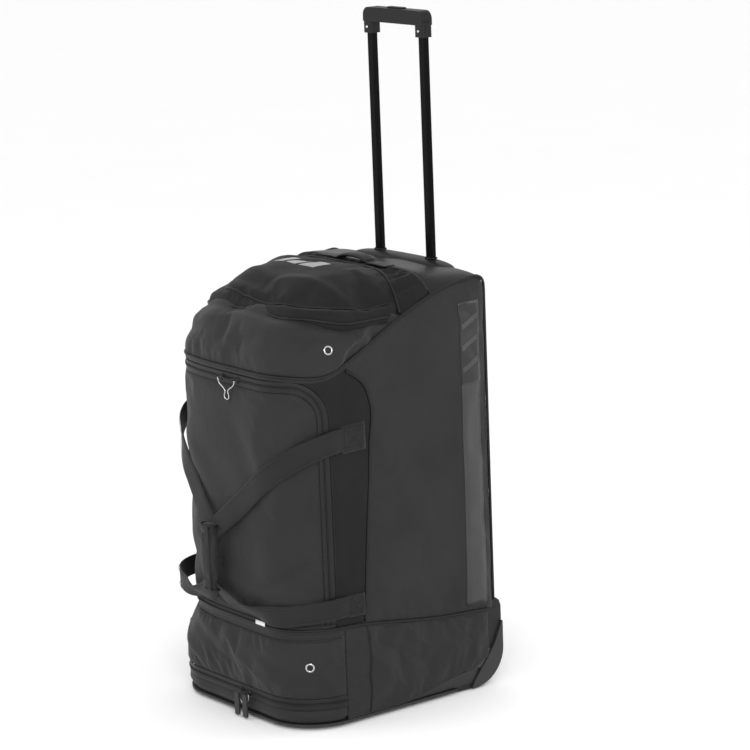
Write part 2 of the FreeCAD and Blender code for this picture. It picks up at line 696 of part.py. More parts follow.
def ball_cradle():
    foam = rounded_edges(box(-204, 204, -76, 136, 201.4, 262), 20, "Z")
    for x in (-102, 102):
        foam = foam.cut(Part.makeSphere(110, V(x, 30, 322)))
    save(foam, "ball_cradle")


fabric_walls()
crown_and_floors()
top_pocket()
top_lid()
door()
shoe_flap()
piping()
trim()
base()
for side_name, side_sign in SIDES:
    wheel_set(side_name, side_sign)
    wheel_housing(side_name, side_sign)
wheel_trim()
trolley_fixed()
trolley_moving()
straps()
haul_handle()
zip_hardware()
ball_cradle()
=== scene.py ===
import math
from contextlib import contextmanager

import bmesh
import bpy
import numpy as np
from mathutils import Matrix, Vector
from mathutils.bvhtree import BVHTree
from mathutils.geometry import delaunay_2d_cdt
from mathutils.noise import noise


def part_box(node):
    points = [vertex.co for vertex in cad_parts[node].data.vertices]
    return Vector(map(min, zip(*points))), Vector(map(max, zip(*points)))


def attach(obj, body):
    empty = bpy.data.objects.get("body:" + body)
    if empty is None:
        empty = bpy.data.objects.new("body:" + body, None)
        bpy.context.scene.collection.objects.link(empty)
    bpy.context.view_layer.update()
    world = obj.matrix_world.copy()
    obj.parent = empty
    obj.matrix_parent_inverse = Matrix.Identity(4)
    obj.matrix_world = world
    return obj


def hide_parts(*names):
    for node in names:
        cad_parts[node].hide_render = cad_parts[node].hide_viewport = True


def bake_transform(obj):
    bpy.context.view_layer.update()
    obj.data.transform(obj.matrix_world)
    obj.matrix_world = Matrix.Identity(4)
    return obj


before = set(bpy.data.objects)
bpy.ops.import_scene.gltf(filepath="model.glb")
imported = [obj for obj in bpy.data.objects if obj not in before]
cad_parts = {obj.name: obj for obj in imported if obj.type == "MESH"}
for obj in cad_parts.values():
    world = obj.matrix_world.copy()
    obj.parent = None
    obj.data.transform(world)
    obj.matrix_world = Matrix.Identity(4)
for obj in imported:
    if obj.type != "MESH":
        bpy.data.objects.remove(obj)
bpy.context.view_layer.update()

# ---- dimensions, in metres, read from the frame where it has them ---------------------------
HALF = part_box("side_panel_right")[1][0]
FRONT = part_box("front_skirt")[0][1]
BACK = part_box("back_panel")[1][1]
CORNER = 0.105                              # plan radius of the front corners
BACK_CORNER = 0.025
DOOR_LOW, DOOR_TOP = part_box("door_panel")[0][2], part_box("door_panel")[1][2]
DOOR_SIDE_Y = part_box("door_panel")[1][1]
DOOR_CORNER = 0.065
FLAP_LOW, FLAP_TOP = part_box("shoe_flap_panel")[0][2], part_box("shoe_flap_panel")[1][2]
FLAP_SIDE_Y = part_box("shoe_flap_panel")[1][1]
RIM_HALF, RIM_FRONT, RIM_CORNER = 0.214, -0.150, 0.102
SEAM_MIDDLE_Y, SEAM_SIDE_Y = 0.090, 0.042   # curved seam behind the lid
CROWN_Y = 0.115                             # seam in front of the smooth crown panel
FRONT_TOP = 0.690                           # the slanted top starts at this height
BASE_LOW = 0.012                            # lower edge of the fabric
TUBE_X = 0.0805                             # half the distance between the trolley tubes
SIDES = ((1, "right"), (-1, "left"))
TOP_HALF = 0.2225                           # half the width of the domed top
STITCH_LENGTH, STITCH_GAP = 0.0032, 0.0016
TAPE_THICK = 0.0008                         # woven tape of every zip
WEBBING_THICK = 0.0024
STRAP_WIDTH, LOWER_STRAP_WIDTH = 0.044, 0.040

# side view: (y, z) of the slanted top, the waist and the wheel guard, and (z, y) of the side seam
SLOPE = [(-0.310, 0.690), (-0.230, 0.690), (-0.138, 0.686), (-0.055, 0.722), (0.013, 0.758),
         (0.079, 0.788), (0.139, 0.811), (0.200, 0.822), (0.300, 0.828)]
WAIST = [(-0.310, 0.197), (-0.119, 0.197), (0.110, 0.167), (0.258, 0.156), (0.300, 0.152)]
SEAM = [(0.190, -0.070), (0.320, -0.060), (0.540, -0.042), (0.620, -0.038), (0.668, -0.062), (0.700, -0.110)]
GUARD = [(0.194, 0.016), (0.213, 0.039), (0.232, 0.061), (0.251, 0.088), (0.268, 0.125)]


def smooth_line(points, x):
    """Value at x of a smooth line through (x, value) points."""
    xs = np.array([p[0] for p in points])
    ys = np.array([p[1] for p in points])
    x = np.clip(np.asarray(x, float), xs[0], xs[-1])
    i = np.clip(np.searchsorted(xs, x) - 1, 0, len(xs) - 2)
    slopes = np.gradient(ys, xs)
    h = xs[i + 1] - xs[i]
    t = (x - xs[i]) / h
    return ((2 * t ** 3 - 3 * t ** 2 + 1) * ys[i] + (t ** 3 - 2 * t ** 2 + t) * h * slopes[i]
            + (3 * t ** 2 - 2 * t ** 3) * ys[i + 1] + (t ** 3 - t ** 2) * h * slopes[i + 1])


def slope_z(y):
    return smooth_line(SLOPE, y)


def waist_z(y):
    return smooth_line(WAIST, y)


def seam_y(z):
    return smooth_line(SEAM, z)


def step(low, high, x):
    """0 below low, 1 above high, smooth between."""
    t = np.clip((np.asarray(x, float) - low) / (high - low), 0, 1)
    return t * t * (3 - 2 * t)


# ---- the bag's outline seen from above, by distance s from the middle of the front -------------
FLAT = HALF - CORNER
ARC = CORNER * math.pi / 2
SIDE = (BACK - BACK_CORNER) - (FRONT + CORNER)
BACK_ARC = BACK_CORNER * math.pi / 2
HALF_LOOP = FLAT + ARC + SIDE + BACK_ARC + HALF - BACK_CORNER
# heights on the door's and the flap's cloth, sewn edge first, then where it swings freely; read but not used
# to bend it
CLOTH_HINGES = {"front_door": (DOOR_LOW + 0.002, DOOR_LOW + 0.085),
                "shoe_flap": (FLAP_TOP - 0.002, FLAP_TOP - 0.045)}
SLOUCH, SLOUCH_S = 0.024, FLAT + 0.42 * ARC      # the soft left front corner sinks in here


def plan(s):
    """x, y and outward normal of the outline at s, to the right for s > 0."""
    s = (np.asarray(s, float) + HALF_LOOP) % (2 * HALF_LOOP) - HALF_LOOP
    sign, a = np.where(s < 0, -1.0, 1.0), np.abs(s)
    turn = np.clip((a - FLAT) / CORNER, 0, math.pi / 2)
    turn_back = np.clip((a - FLAT - ARC - SIDE) / BACK_CORNER, 0, math.pi / 2)
    run = np.clip(a - FLAT - ARC, 0, SIDE)
    run_back = np.clip(a - FLAT - ARC - SIDE - BACK_ARC, 0, None)
    x = (np.minimum(a, FLAT) + CORNER * np.sin(turn) - BACK_CORNER * (1 - np.cos(turn_back)) - run_back)
    y = FRONT + CORNER * (1 - np.cos(turn)) + run + BACK_CORNER * np.sin(turn_back)
    angle = turn + turn_back
    return sign * x, y, sign * np.sin(angle), -np.cos(angle)


def s_at(y):
    """s on the right side of the bag where the outline passes y."""
    if y < FRONT + CORNER:
        return FLAT + CORNER * math.acos((FRONT + CORNER - y) / CORNER)
    return FLAT + ARC + y - (FRONT + CORNER)


def slouch(s, z):
    """How far the empty left front corner has sunk in."""
    return SLOUCH * np.exp(-((np.asarray(s, float) + SLOUCH_S) / 0.085) ** 2) * step(0.055, 0.175, z)


def on_bag(s, z, out=0.0):
    """Points on the upright faces of the bag, `out` metres proud of them."""
    x, y, nx, ny = plan(s)
    out = out - slouch(s, z)
    return np.stack([x + nx * out, y + ny * out, np.broadcast_to(z, x.shape)], -1)


def bag_normal(s):
    _, _, nx, ny = plan(s)
    return np.stack([nx, ny, np.zeros_like(nx)], -1)


# ---- folds: shallow ridges and hollows drawn in a panel's own flat pattern -----------------------
def crease(u, v, start, end, width, height):
    """A ridge (height > 0) or hollow along a line, fading out at both ends."""
    a, b = np.array(start), np.array(end)
    run = b - a
    length = np.hypot(*run)
    t = ((u - a[0]) * run[0] + (v - a[1]) * run[1]) / length ** 2
    off = ((u - a[0]) * run[1] - (v - a[1]) * run[0]) / length
    fade = np.clip(np.sin(np.pi * np.clip(t, 0, 1)), 0, 1) ** 0.6
    return height * fade * np.exp(-(off / width) ** 2)


def creases(u, v, rows, base=0.0):
    """Adds up creases given as (start, end, width, height), on top of `base`."""
    for row in rows:
        base = base + crease(u, v, *row)
    return base


def ripple(u, v, size, height, seed):
    """Soft irregular unevenness, about `size` metres across."""
    flat_u, flat_v = np.ravel(u), np.ravel(v)
    values = [noise((a / size + seed * 7.3, b / size - seed * 3.1, seed)) for a, b in zip(flat_u, flat_v)]
    return height * np.reshape(values, np.shape(u))


# ---- building meshes -----------------------------------------------------------------------------
def new_object(name, verts, faces, uv=None):
    mesh = bpy.data.meshes.new(name)
    mesh.from_pydata([tuple(v) for v in verts], [], [tuple(f) for f in faces])
    mesh.polygons.foreach_set("use_smooth", [True] * len(mesh.polygons))
    if uv is not None:
        layer = mesh.uv_layers.new(name="pattern")
        for loop in mesh.loops:
            layer.data[loop.index].uv = uv[loop.vertex_index]
    mesh.validate()
    mesh.update()
    obj = bpy.data.objects.new(name, mesh)
    bpy.context.scene.collection.objects.link(obj)
    return obj


def run_along(path):
    """Distance from the start of a line to each of its points."""
    return np.concatenate([[0], np.cumsum(np.linalg.norm(np.diff(path, axis=0), axis=1))])


def read_off(at, run, values):
    """3-D values at some distances along a line."""
    return np.stack([np.interp(at, run, values[:, k]) for k in range(3)], -1)


def circle(count):
    """Angles of evenly spaced points round a circle."""
    return np.linspace(0, 2 * math.pi, count + 1)[:-1]


def squared(value, power):
    """Sine or cosine pushed outwards, so that a circle becomes a rounded rectangle."""
    return math.copysign(abs(value) ** power, value)


def resample(points, spacing, closed=True):
    """Points at an even spacing along a line, its corners kept where they are sharp."""
    points = [np.array(p, float) for p in points]
    if closed:
        points = points + points[:1]
    result = []
    for a, b in zip(points, points[1:]):
        length = np.linalg.norm(b - a)
        count = max(1, int(round(length / spacing)))
        result += [a + (b - a) * k / count for k in range(count)]
    if not closed:
        result.append(points[-1])
    return np.array(result)


def distance_to(line, points, closed=True):
    """Shortest distance from each point to a polyline."""
    ends = np.roll(line, -1, 0) if closed else line[1:]
    starts = line if closed else line[:-1]
    best = np.full(len(points), 1e9)
    for a, b in zip(starts, ends):
        run = b - a
        t = np.clip(((points - a) @ run) / max(run @ run, 1e-12), 0, 1)
        best = np.minimum(best, np.linalg.norm(points - (a + t[:, None] * run), axis=1))
    return best


def inside(line, points):
    """Which points are inside a closed polyline."""
    result = np.zeros(len(points), bool)
    for a, b in zip(line, np.roll(line, -1, 0)):
        crosses = (a[1] > points[:, 1]) != (b[1] > points[:, 1])
        with np.errstate(divide="ignore", invalid="ignore"):
            x = a[0] + (points[:, 1] - a[1]) / (b[1] - a[1]) * (b[0] - a[0])
        result ^= crosses & (points[:, 0] < x)
    return result


def net(outline, spacing):
    """Even net of quads and triangles that fills a flat outline. Returns points, faces, edge distance."""
    edge = resample(outline, spacing)
    low, high = edge.min(0), edge.max(0)
    us = np.arange(low[0] + spacing / 2, high[0], spacing)
    vs = np.arange(low[1] + spacing / 2, high[1], spacing)
    lattice = np.stack(np.meshgrid(us, vs), -1).reshape(-1, 2)
    lattice = lattice[inside(edge, lattice)]
    lattice = lattice[distance_to(edge, lattice) > 0.5 * spacing]
    points = np.concatenate([edge, lattice])
    count = len(edge)
    loop = list(range(count))
    verts, _, faces, _, _, _ = delaunay_2d_cdt([Vector(p) for p in points], [], [loop], 1, 1e-6)
    verts = np.array([tuple(v) for v in verts])
    mesh = bmesh.new()
    corners = [mesh.verts.new((v[0], v[1], 0)) for v in verts]
    for face in faces:
        mesh.faces.new([corners[i] for i in face])
    bmesh.ops.join_triangles(mesh, faces=mesh.faces[:], angle_face_threshold=1.0, angle_shape_threshold=0.6)
    mesh.verts.index_update()
    faces = [[v.index for v in f.verts] for f in mesh.faces]
    mesh.free()
    return verts, faces, distance_to(edge, verts)


def face_outwards(obj, outward):
    """Flips all the faces if the middle one looks away from `outward`."""
    centre = obj.data.polygons[len(obj.data.polygons) // 2]
    if centre.normal.dot(Vector(outward)) < 0:
        obj.data.flip_normals()


def modify(obj, kind, **settings):
    modifier = obj.modifiers.new(kind.lower(), kind)
    for key, value in settings.items():
        setattr(modifier, key, value)
    return modifier


def finish_soft(obj, thick, levels=1):
    """Gives a cloth surface its thickness, inwards, and one round of smoothing."""
    modify(obj, "SOLIDIFY", thickness=thick, offset=-1.0, use_even_offset=False)
    if levels:
        modify(obj, "SUBSURF", levels=levels, render_levels=levels)


BENCH = bpy.data.scenes.new("bench")        # single pieces are simulated and measured here


@contextmanager
def on_bench(objects):
    """Shows some pieces alone, so that only they are evaluated."""
    for obj in objects:
        BENCH.collection.objects.link(obj)
    BENCH.view_layers[0].update()
    yield lambda: BENCH.view_layers[0].depsgraph
    for obj in objects:
        BENCH.collection.objects.unlink(obj)


def drape(obj, held, pressure=0.0, extra=0.03, frames=20, cap=0.012, gravity=0.0, stiff=8.0):
    """Cloth simulation: a little too much cloth, held at some vertices, swells and wrinkles."""
    rest = np.array([v.co for v in obj.data.vertices])
    group = obj.vertex_groups.new(name="held")
    for index, weight in enumerate(held):
        group.add([index], float(weight), "REPLACE")
    cloth = obj.modifiers.new("cloth", "CLOTH")
    settings = cloth.settings
    settings.quality = 6
    settings.mass = 0.25
    settings.tension_stiffness = stiff
    settings.compression_stiffness = stiff
    settings.shear_stiffness = stiff * 0.4
    settings.bending_stiffness = 0.25
    settings.vertex_group_mass = "held"
    settings.shrink_min = -extra
    settings.shrink_max = -extra
    settings.use_pressure = pressure > 0
    settings.uniform_pressure_force = pressure
    settings.effector_weights.gravity = gravity
    cloth.point_cache.frame_start, cloth.point_cache.frame_end = 1, frames
    with on_bench([obj]) as depsgraph:
        for number in range(1, frames + 1):
            BENCH.frame_set(number)
        moved = np.array([v.co for v in obj.evaluated_get(depsgraph()).data.vertices])
    obj.modifiers.remove(cloth)
    shift = moved - rest
    length = np.linalg.norm(shift, axis=1, keepdims=True)
    shift *= np.minimum(1.0, cap / np.maximum(length, 1e-9))
    for vertex, place in zip(obj.data.vertices, rest + shift):
        vertex.co = place
    obj.data.update()


def panel(name, outline, place, spacing=0.008, thick=0.003, bulge=0.006, falloff=0.03,
          shape=None, soft=None, outward=(0, -1, 0), levels=1):
    """Cloth panel cut to a flat outline, laid on the bag and filled out a little."""
    points, faces, edge = net(outline, spacing)
    u, v = points[:, 0], points[:, 1]
    out = bulge * (1 - np.exp(-(edge / falloff)))
    if shape is not None:
        out = out + shape(u, v) * (1 - np.exp(-(edge / (falloff * 0.5))))
    verts = place(u, v, out)
    obj = new_object(name, verts, faces, points)
    face_outwards(obj, outward)
    if soft:
        held = np.where(edge < spacing * 0.6, 1.0, 0.0)
        drape(obj, held, **soft)
    finish_soft(obj, thick, levels)
    return obj


def sweep(name, path, normals, section, closed=False, cap=True):
    """Sweeps a closed section of (across, up) points along a path with given up directions."""
    path, normals = np.array(path), np.array(normals)
    ahead = np.roll(path, -1, 0) if closed else np.vstack([path[1:], 2 * path[-1:] - path[-2:-1]])
    behind = np.roll(path, 1, 0) if closed else np.vstack([2 * path[:1] - path[1:2], path[:-1]])
    tangent = ahead - behind
    tangent /= np.linalg.norm(tangent, axis=1, keepdims=True)
    across = np.cross(tangent, normals)
    across /= np.linalg.norm(across, axis=1, keepdims=True)
    up = np.cross(across, tangent)
    section = np.array(section)
    verts = path[:, None] + across[:, None] * section[None, :, :1] + up[:, None] * section[None, :, 1:]
    verts = verts.reshape(-1, 3)
    n, k = len(path), len(section)
    faces = []
    for i in range(n if closed else n - 1):
        j = (i + 1) % n
        for a in range(k):
            b = (a + 1) % k
            faces.append((i * k + a, i * k + b, j * k + b, j * k + a))
    if cap and not closed:
        faces.append(tuple(range(k))[::-1])
        faces.append(tuple((n - 1) * k + a for a in range(k)))
    run = run_along(path)
    uv = [(run[i], section[a][0]) for i in range(n) for a in range(k)]
    obj = new_object(name, verts, faces, uv)
    normals_out(obj)
    return obj


def normals_out(obj):
    mesh = bmesh.new()
    mesh.from_mesh(obj.data)
    bmesh.ops.recalc_face_normals(mesh, faces=mesh.faces)
    mesh.to_mesh(obj.data)
    mesh.free()


def strip_section(width, thick):
    """Section of webbing or tape: flat, with rounded edges."""
    w, t = width / 2, thick / 2
    return [(-w, -t * 0.5), (-w + t, -t), (-w / 3, -t), (w / 3, -t), (w - t, -t), (w, -t * 0.5),
            (w, t * 0.5), (w - t, t), (w / 3, t), (-w / 3, t), (-w + t, t), (-w, t * 0.5)]


def round_section(radius, count=10):
    return [(radius * math.cos(2 * math.pi * k / count), radius * math.sin(2 * math.pi * k / count))
            for k in range(count)]


def catmull(points, per_span=8):
    """Smooth line through 3-D points."""
    pts = [np.array(p, float) for p in points]
    pts = [2 * pts[0] - pts[1]] + pts + [2 * pts[-1] - pts[-2]]
    result = []
    for a, b, c, d in zip(pts, pts[1:], pts[2:], pts[3:]):
        for k in range(per_span):
            t = k / per_span
            result.append(0.5 * (2 * b + (c - a) * t + (2 * a - 5 * b + 4 * c - d) * t ** 2
                                 + (3 * b - a - 3 * c + d) * t ** 3))
    result.append(pts[-2])
    return np.array(result)


def smooth_path(path, passes):
    path = np.array(path, float)
    for _ in range(passes):
        path[1:-1] = (path[:-2] + 2 * path[1:-1] + path[2:]) / 4
    return path


def merge(name, objects):
    """One object out of several finished ones."""
    mesh = bmesh.new()
    with on_bench(objects) as depsgraph:
        for obj in objects:
            data = bpy.data.meshes.new_from_object(obj.evaluated_get(depsgraph()))
            data.transform(obj.matrix_world)
            mesh.from_mesh(data)
            bpy.data.meshes.remove(data)
    result = bpy.data.meshes.new(name)
    mesh.to_mesh(result)
    mesh.free()
    for obj in objects:
        bpy.data.objects.remove(obj, do_unlink=True)
    merged = bpy.data.objects.new(name, result)
    bpy.context.scene.collection.objects.link(merged)
    return merged


def dashes(name, lines, length=STITCH_LENGTH, gap=STITCH_GAP, width=0.0005, lift=0.0002):
    """Rows of stitches: short raised threads along lines of (points, normals)."""
    verts, faces = [], []
    for path, normals in lines:
        path, normals = np.array(path), np.array(normals)
        run = run_along(path)
        at = gap
        while at + length < run[-1]:
            ends = [read_off(t, run, path) for t in (at, at + length)]
            up = read_off(at, run, normals)
            up /= np.linalg.norm(up)
            along = ends[1] - ends[0]
            along /= np.linalg.norm(along)
            side = np.cross(along, up)
            base = len(verts)
            for end, inset in ((ends[0], 1), (ends[1], -1)):
                middle = end + along * inset * width * 0.8
                verts += [end - up * width, middle + side * width + up * lift,
                          middle + up * (lift + width), middle - side * width + up * lift]
            faces += [(base + 1, base + 5, base + 6, base + 2), (base + 2, base + 6, base + 7, base + 3),
                      (base, base + 1, base + 2), (base, base + 2, base + 3),
                      (base + 4, base + 6, base + 5), (base + 4, base + 7, base + 6),
                      (base, base + 4, base + 5, base + 1), (base + 3, base + 7, base + 4, base)]
            at += length + gap
    return new_object(name, verts, faces)


# ---- materials -----------------------------------------------------------------------------------
def shader(name, color, roughness, **inputs):
    material = bpy.data.materials.new(name)
    material.use_nodes = True
    nodes = material.node_tree.nodes
    principled = nodes["Principled BSDF"]
    principled.inputs["Base Color"].default_value = (*color, 1)
    principled.inputs["Roughness"].default_value = roughness
    for key, value in inputs.items():
        principled.inputs[key].default_value = value
    return material, nodes, material.node_tree.links, principled


def add(nodes, kind, inputs=None, **settings):
    node = nodes.new(kind)
    for key, value in settings.items():
        setattr(node, key, value)
    for key, value in (inputs or {}).items():
        node.inputs[key].default_value = value
    return node


def vary_colour(nodes, links, principled, coords, color, amount, scale):
    """Slow lightening and darkening of the base colour."""
    cloud = add(nodes, "ShaderNodeTexNoise", {"Scale": scale, "Detail": 5.0})
    links.new(coords, cloud.inputs["Vector"])
    ramp = add(nodes, "ShaderNodeValToRGB")
    low, high = [c * (1 - amount) for c in color], [c * (1 + amount) for c in color]
    ramp.color_ramp.elements[0].position, ramp.color_ramp.elements[1].position = 0.3, 0.7
    ramp.color_ramp.elements[0].color = (*low, 1)
    ramp.color_ramp.elements[1].color = (*high, 1)
    links.new(cloud.outputs["Fac"], ramp.inputs["Fac"])
    links.new(ramp.outputs["Color"], principled.inputs["Base Color"])
    return cloud


def vary_roughness(nodes, links, principled, source, low, high):
    spread = add(nodes, "ShaderNodeMapRange", {"To Min": low, "To Max": high})
    links.new(source, spread.inputs["Value"])
    links.new(spread.outputs["Result"], principled.inputs["Roughness"])


def woven(name, color, roughness=0.72, sheen=0.07, thread=0.0009, weave=0.5, wrinkle=0.35, coat=0.0,
          specular=0.22):
    """Fine woven cloth: crossing threads, slight colour variation and small wrinkles."""
    material, nodes, links, principled = shader(
        name, color, roughness, **{"Sheen Weight": sheen, "Sheen Roughness": 0.45,
                                   "Specular IOR Level": specular, "Coat Weight": coat,
                                   "Coat Roughness": 0.35})
    coords = add(nodes, "ShaderNodeTexCoord")
    waves = []
    for direction in ("X", "Y"):
        wave = add(nodes, "ShaderNodeTexWave", {"Scale": 0.314 / thread, "Distortion": 0.4, "Detail": 1.0},
                   wave_type="BANDS", bands_direction=direction, wave_profile="SIN")
        links.new(coords.outputs["UV"], wave.inputs["Vector"])
        waves.append(wave)
    product = add(nodes, "ShaderNodeMath", operation="MULTIPLY")
    links.new(waves[0].outputs["Fac"], product.inputs[0])
    links.new(waves[1].outputs["Fac"], product.inputs[1])
    rumple = add(nodes, "ShaderNodeTexNoise", {"Scale": 26.0, "Detail": 4.0, "Roughness": 0.55,
                                               "Distortion": 0.6})
    links.new(coords.outputs["Object"], rumple.inputs["Vector"])
    wide = add(nodes, "ShaderNodeBump", {"Strength": wrinkle, "Distance": 0.004})
    links.new(rumple.outputs["Fac"], wide.inputs["Height"])
    fine = add(nodes, "ShaderNodeBump", {"Strength": weave, "Distance": 0.0002})
    links.new(product.outputs["Value"], fine.inputs["Height"])
    links.new(wide.outputs["Normal"], fine.inputs["Normal"])
    links.new(fine.outputs["Normal"], principled.inputs["Normal"])
    cloud = vary_colour(nodes, links, principled, coords.outputs["Object"], color, 0.18, 9.0)
    vary_roughness(nodes, links, principled, cloud.outputs["Fac"], roughness - 0.06, roughness + 0.06)
    return material


def moulded(name, color, roughness=0.5, grain=0.25, grain_scale=900.0, specular=0.4, metallic=0.0, wear=0.12):
    """Plastic, rubber or lacquered metal with a fine grain and slight uneven wear."""
    material, nodes, links, principled = shader(
        name, color, roughness, **{"Specular IOR Level": specular, "Metallic": metallic})
    coords = add(nodes, "ShaderNodeTexCoord")
    pits = add(nodes, "ShaderNodeTexNoise", {"Scale": grain_scale, "Detail": 2.0})
    links.new(coords.outputs["Object"], pits.inputs["Vector"])
    bump = add(nodes, "ShaderNodeBump", {"Strength": grain, "Distance": 0.0002})
    links.new(pits.outputs["Fac"], bump.inputs["Height"])
    links.new(bump.outputs["Normal"], principled.inputs["Normal"])
    cloud = vary_colour(nodes, links, principled, coords.outputs["Object"], color, wear, 24.0)
    vary_roughness(nodes, links, principled, cloud.outputs["Fac"], roughness - 0.07, roughness + 0.07)
    return material


FABRIC = woven("bag_fabric", (0.0135, 0.0135, 0.0140))
# painted shade: a darker copy of the bag fabric, with weaker sheen and specular, for the lid, its lip, the
# gusset and the frame round the door, which look less lit than the sides
PAINTED_SHADE_FABRIC = woven("fabric_with_painted_shade", (0.0095, 0.0095, 0.0100), sheen=0.04, specular=0.11)
LINING = woven("lining_fabric", (0.060, 0.060, 0.063), thread=0.0012, wrinkle=0.2)
TARPAULIN = woven("crown_fabric", (0.0095, 0.0095, 0.0100), specular=0.15, roughness=0.48, sheen=0.0,
                  thread=0.0014, weave=0.15, wrinkle=0.2, coat=0.08)
WEBBING = woven("webbing", (0.0085, 0.0085, 0.009), roughness=0.68, thread=0.0018, weave=0.9, wrinkle=0.05)
TAPE = woven("zip_tape", (0.008, 0.008, 0.0085), roughness=0.5, sheen=0.05, thread=0.001, weave=0.4,
             wrinkle=0.05)
THREAD = woven("thread", (0.022, 0.022, 0.023), roughness=0.6, thread=0.0004)
FOAM = woven("foam", (0.050, 0.050, 0.053), roughness=0.9, sheen=0.1, thread=0.003, weave=0.6, wrinkle=0.5)
PIPING = moulded("piping", (0.005, 0.005, 0.0055), roughness=0.5, grain=0.1, specular=0.25)
RUBBER = moulded("pull_rubber", (0.014, 0.014, 0.015), roughness=0.55)
TUBE = moulded("tube_lacquer", (0.003, 0.003, 0.0033), roughness=0.30, grain=0.03, specular=0.05, wear=0.05)
GRIP = moulded("grip_plastic", (0.006, 0.006, 0.0065), roughness=0.5, specular=0.2)
HOUSING = moulded("housing_plastic", (0.007, 0.007, 0.0075), roughness=0.5, specular=0.3)
GUARD_PLASTIC = moulded("guard_plastic", (0.018, 0.018, 0.019), roughness=0.55, grain=0.4)
HUB = moulded("hub_plastic", (0.022, 0.022, 0.024), roughness=0.45)
TYRE = moulded("tyre_rubber", (0.012, 0.012, 0.012), roughness=0.75, grain=0.5, grain_scale=500.0)
BOARD = moulded("board", (0.014, 0.014, 0.015), roughness=0.6)
CHROME = moulded("chrome", (0.46, 0.46, 0.47), roughness=0.14, grain=0.02, metallic=1.0, wear=0.05)
STEEL = moulded("steel", (0.50, 0.50, 0.52), roughness=0.3, grain=0.1, metallic=1.0)
STRIPE = woven("reflective_film", (0.034, 0.034, 0.035), roughness=0.45, sheen=0.0, thread=0.0006,
               weave=0.2, wrinkle=0.25, coat=0.2)
STRIPE_DARK = woven("dark_film", (0.007, 0.007, 0.0075), roughness=0.28, sheen=0.0, thread=0.0006, weave=0.1,
                    wrinkle=0.2, coat=0.4)
PRINT_WHITE = woven("tag_weave", (0.62, 0.62, 0.60), roughness=0.7, thread=0.0006, weave=0.6, wrinkle=0.1)
PRINT = woven("silver_print", (0.30, 0.30, 0.305), roughness=0.45, sheen=0.0, thread=0.0008, weave=0.3,
              wrinkle=0.2)


def paint(obj, material):
    obj.data.materials.clear()
    obj.data.materials.append(material)
    return obj


def place_piece(obj, material, body, slot, *nodes):
    """Material, moving body, finish slot (not used) and the CAD nodes that the piece stands for."""
    paint(obj, material)
    if body in CLOTH_HINGES:
        sewn_z, free_z = CLOTH_HINGES[body]
        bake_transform(obj)
    else:
        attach(obj, body)
    if nodes:
        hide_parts(*nodes)
    return obj


# ---- laying things on a finished surface ---------------------------------------------------------
def tree_of(obj):
    """Search tree of a piece's finished outer surface."""
    with on_bench([obj]) as depsgraph:
        evaluated = obj.evaluated_get(depsgraph())
        mesh = evaluated.to_mesh()
        places = np.zeros(len(mesh.vertices) * 3, np.float32)
        mesh.vertices.foreach_get("co", places)
        faces = [tuple(p.vertices) for p in mesh.polygons]
        evaluated.to_mesh_clear()
    return BVHTree.FromPolygons(places.reshape(-1, 3).tolist(), faces)


def lay(tree, points, directions, lift=0.0, reach=0.05):
    """Moves points onto a surface along the given outward directions, then lifts them off it."""
    result = []
    for point, direction in zip(points, directions):
        up = Vector(direction).normalized()
        start = Vector(point) + up * reach
        hit = tree.ray_cast(start, -up, 2 * reach)[0]
        result.append(np.array((hit if hit is not None else Vector(point)) + up * lift))
    return np.array(result)


def decal(name, tree, corners, place, normal, lift=0.0007, spacing=0.006, thick=0.0005):
    """Thin sheet with a flat outline, laid on a finished surface."""
    points, faces, _ = net(corners, spacing)
    u, v = points[:, 0], points[:, 1]
    base, ups = place(u, v, np.zeros_like(u)), normal(u, v)
    verts = lay(tree, base, ups, lift)
    obj = new_object(name, verts, faces, points)
    middle = len(ups) // 2
    face_outwards(obj, np.mean(ups, 0) if abs(np.mean(ups, 0)).sum() > 0.1 else ups[middle])
    modify(obj, "SOLIDIFY", thickness=thick, offset=-1.0)
    return obj


def stitched(name, tree, lines, lift=0.0002, spacing=0.0016, length=STITCH_LENGTH):
    """Rows of stitches on a finished surface, each row as (points, outward directions)."""
    rows = []
    for points, ups in lines:
        points, ups = np.array(points, float), np.array(ups, float)
        run = run_along(points)
        at = np.arange(0, run[-1], spacing)
        points, ups = read_off(at, run, points), read_off(at, run, ups)
        rows.append((lay(tree, points, ups, lift), ups))
    return dashes(name, rows, length=length)


def coil(name, path, normals, radius=0.0013, pitch=0.0024, closed=False):
    """Zip coil: a bead whose thickness pulses once for each tooth."""
    path = np.array(path, float)
    run = run_along(path)
    at = np.arange(0, run[-1], pitch / 2)
    points, ups = read_off(at, run, path), read_off(at, run, np.array(normals))
    section = [(radius * math.cos(math.pi * k / 3),
                radius * 0.8 * math.sin(math.pi * k / 3)) for k in range(6)]
    obj = sweep(name, points, ups, section, closed)
    for index, vertex in enumerate(obj.data.vertices):
        ring = index // 6
        if ring % 2:
            centre = Vector(points[ring])
            vertex.co = centre + (vertex.co - centre) * 0.62
    return obj


def bag_line(points, out, spacing=0.004):
    """Path and outward directions along (s, z) points on the upright faces."""
    flat = resample(points, spacing, closed=False)
    return on_bag(flat[:, 0], flat[:, 1], out), bag_normal(flat[:, 0])


def level_out(u, v):
    """Outward direction at pattern point (u, v) of the upright faces."""
    return bag_normal(u)


def arc_points(cx, cy, radius, start, end, count=10):
    angles = np.radians(np.linspace(start, end, count))
    return [(cx + radius * math.cos(t), cy + radius * math.sin(t)) for t in angles]


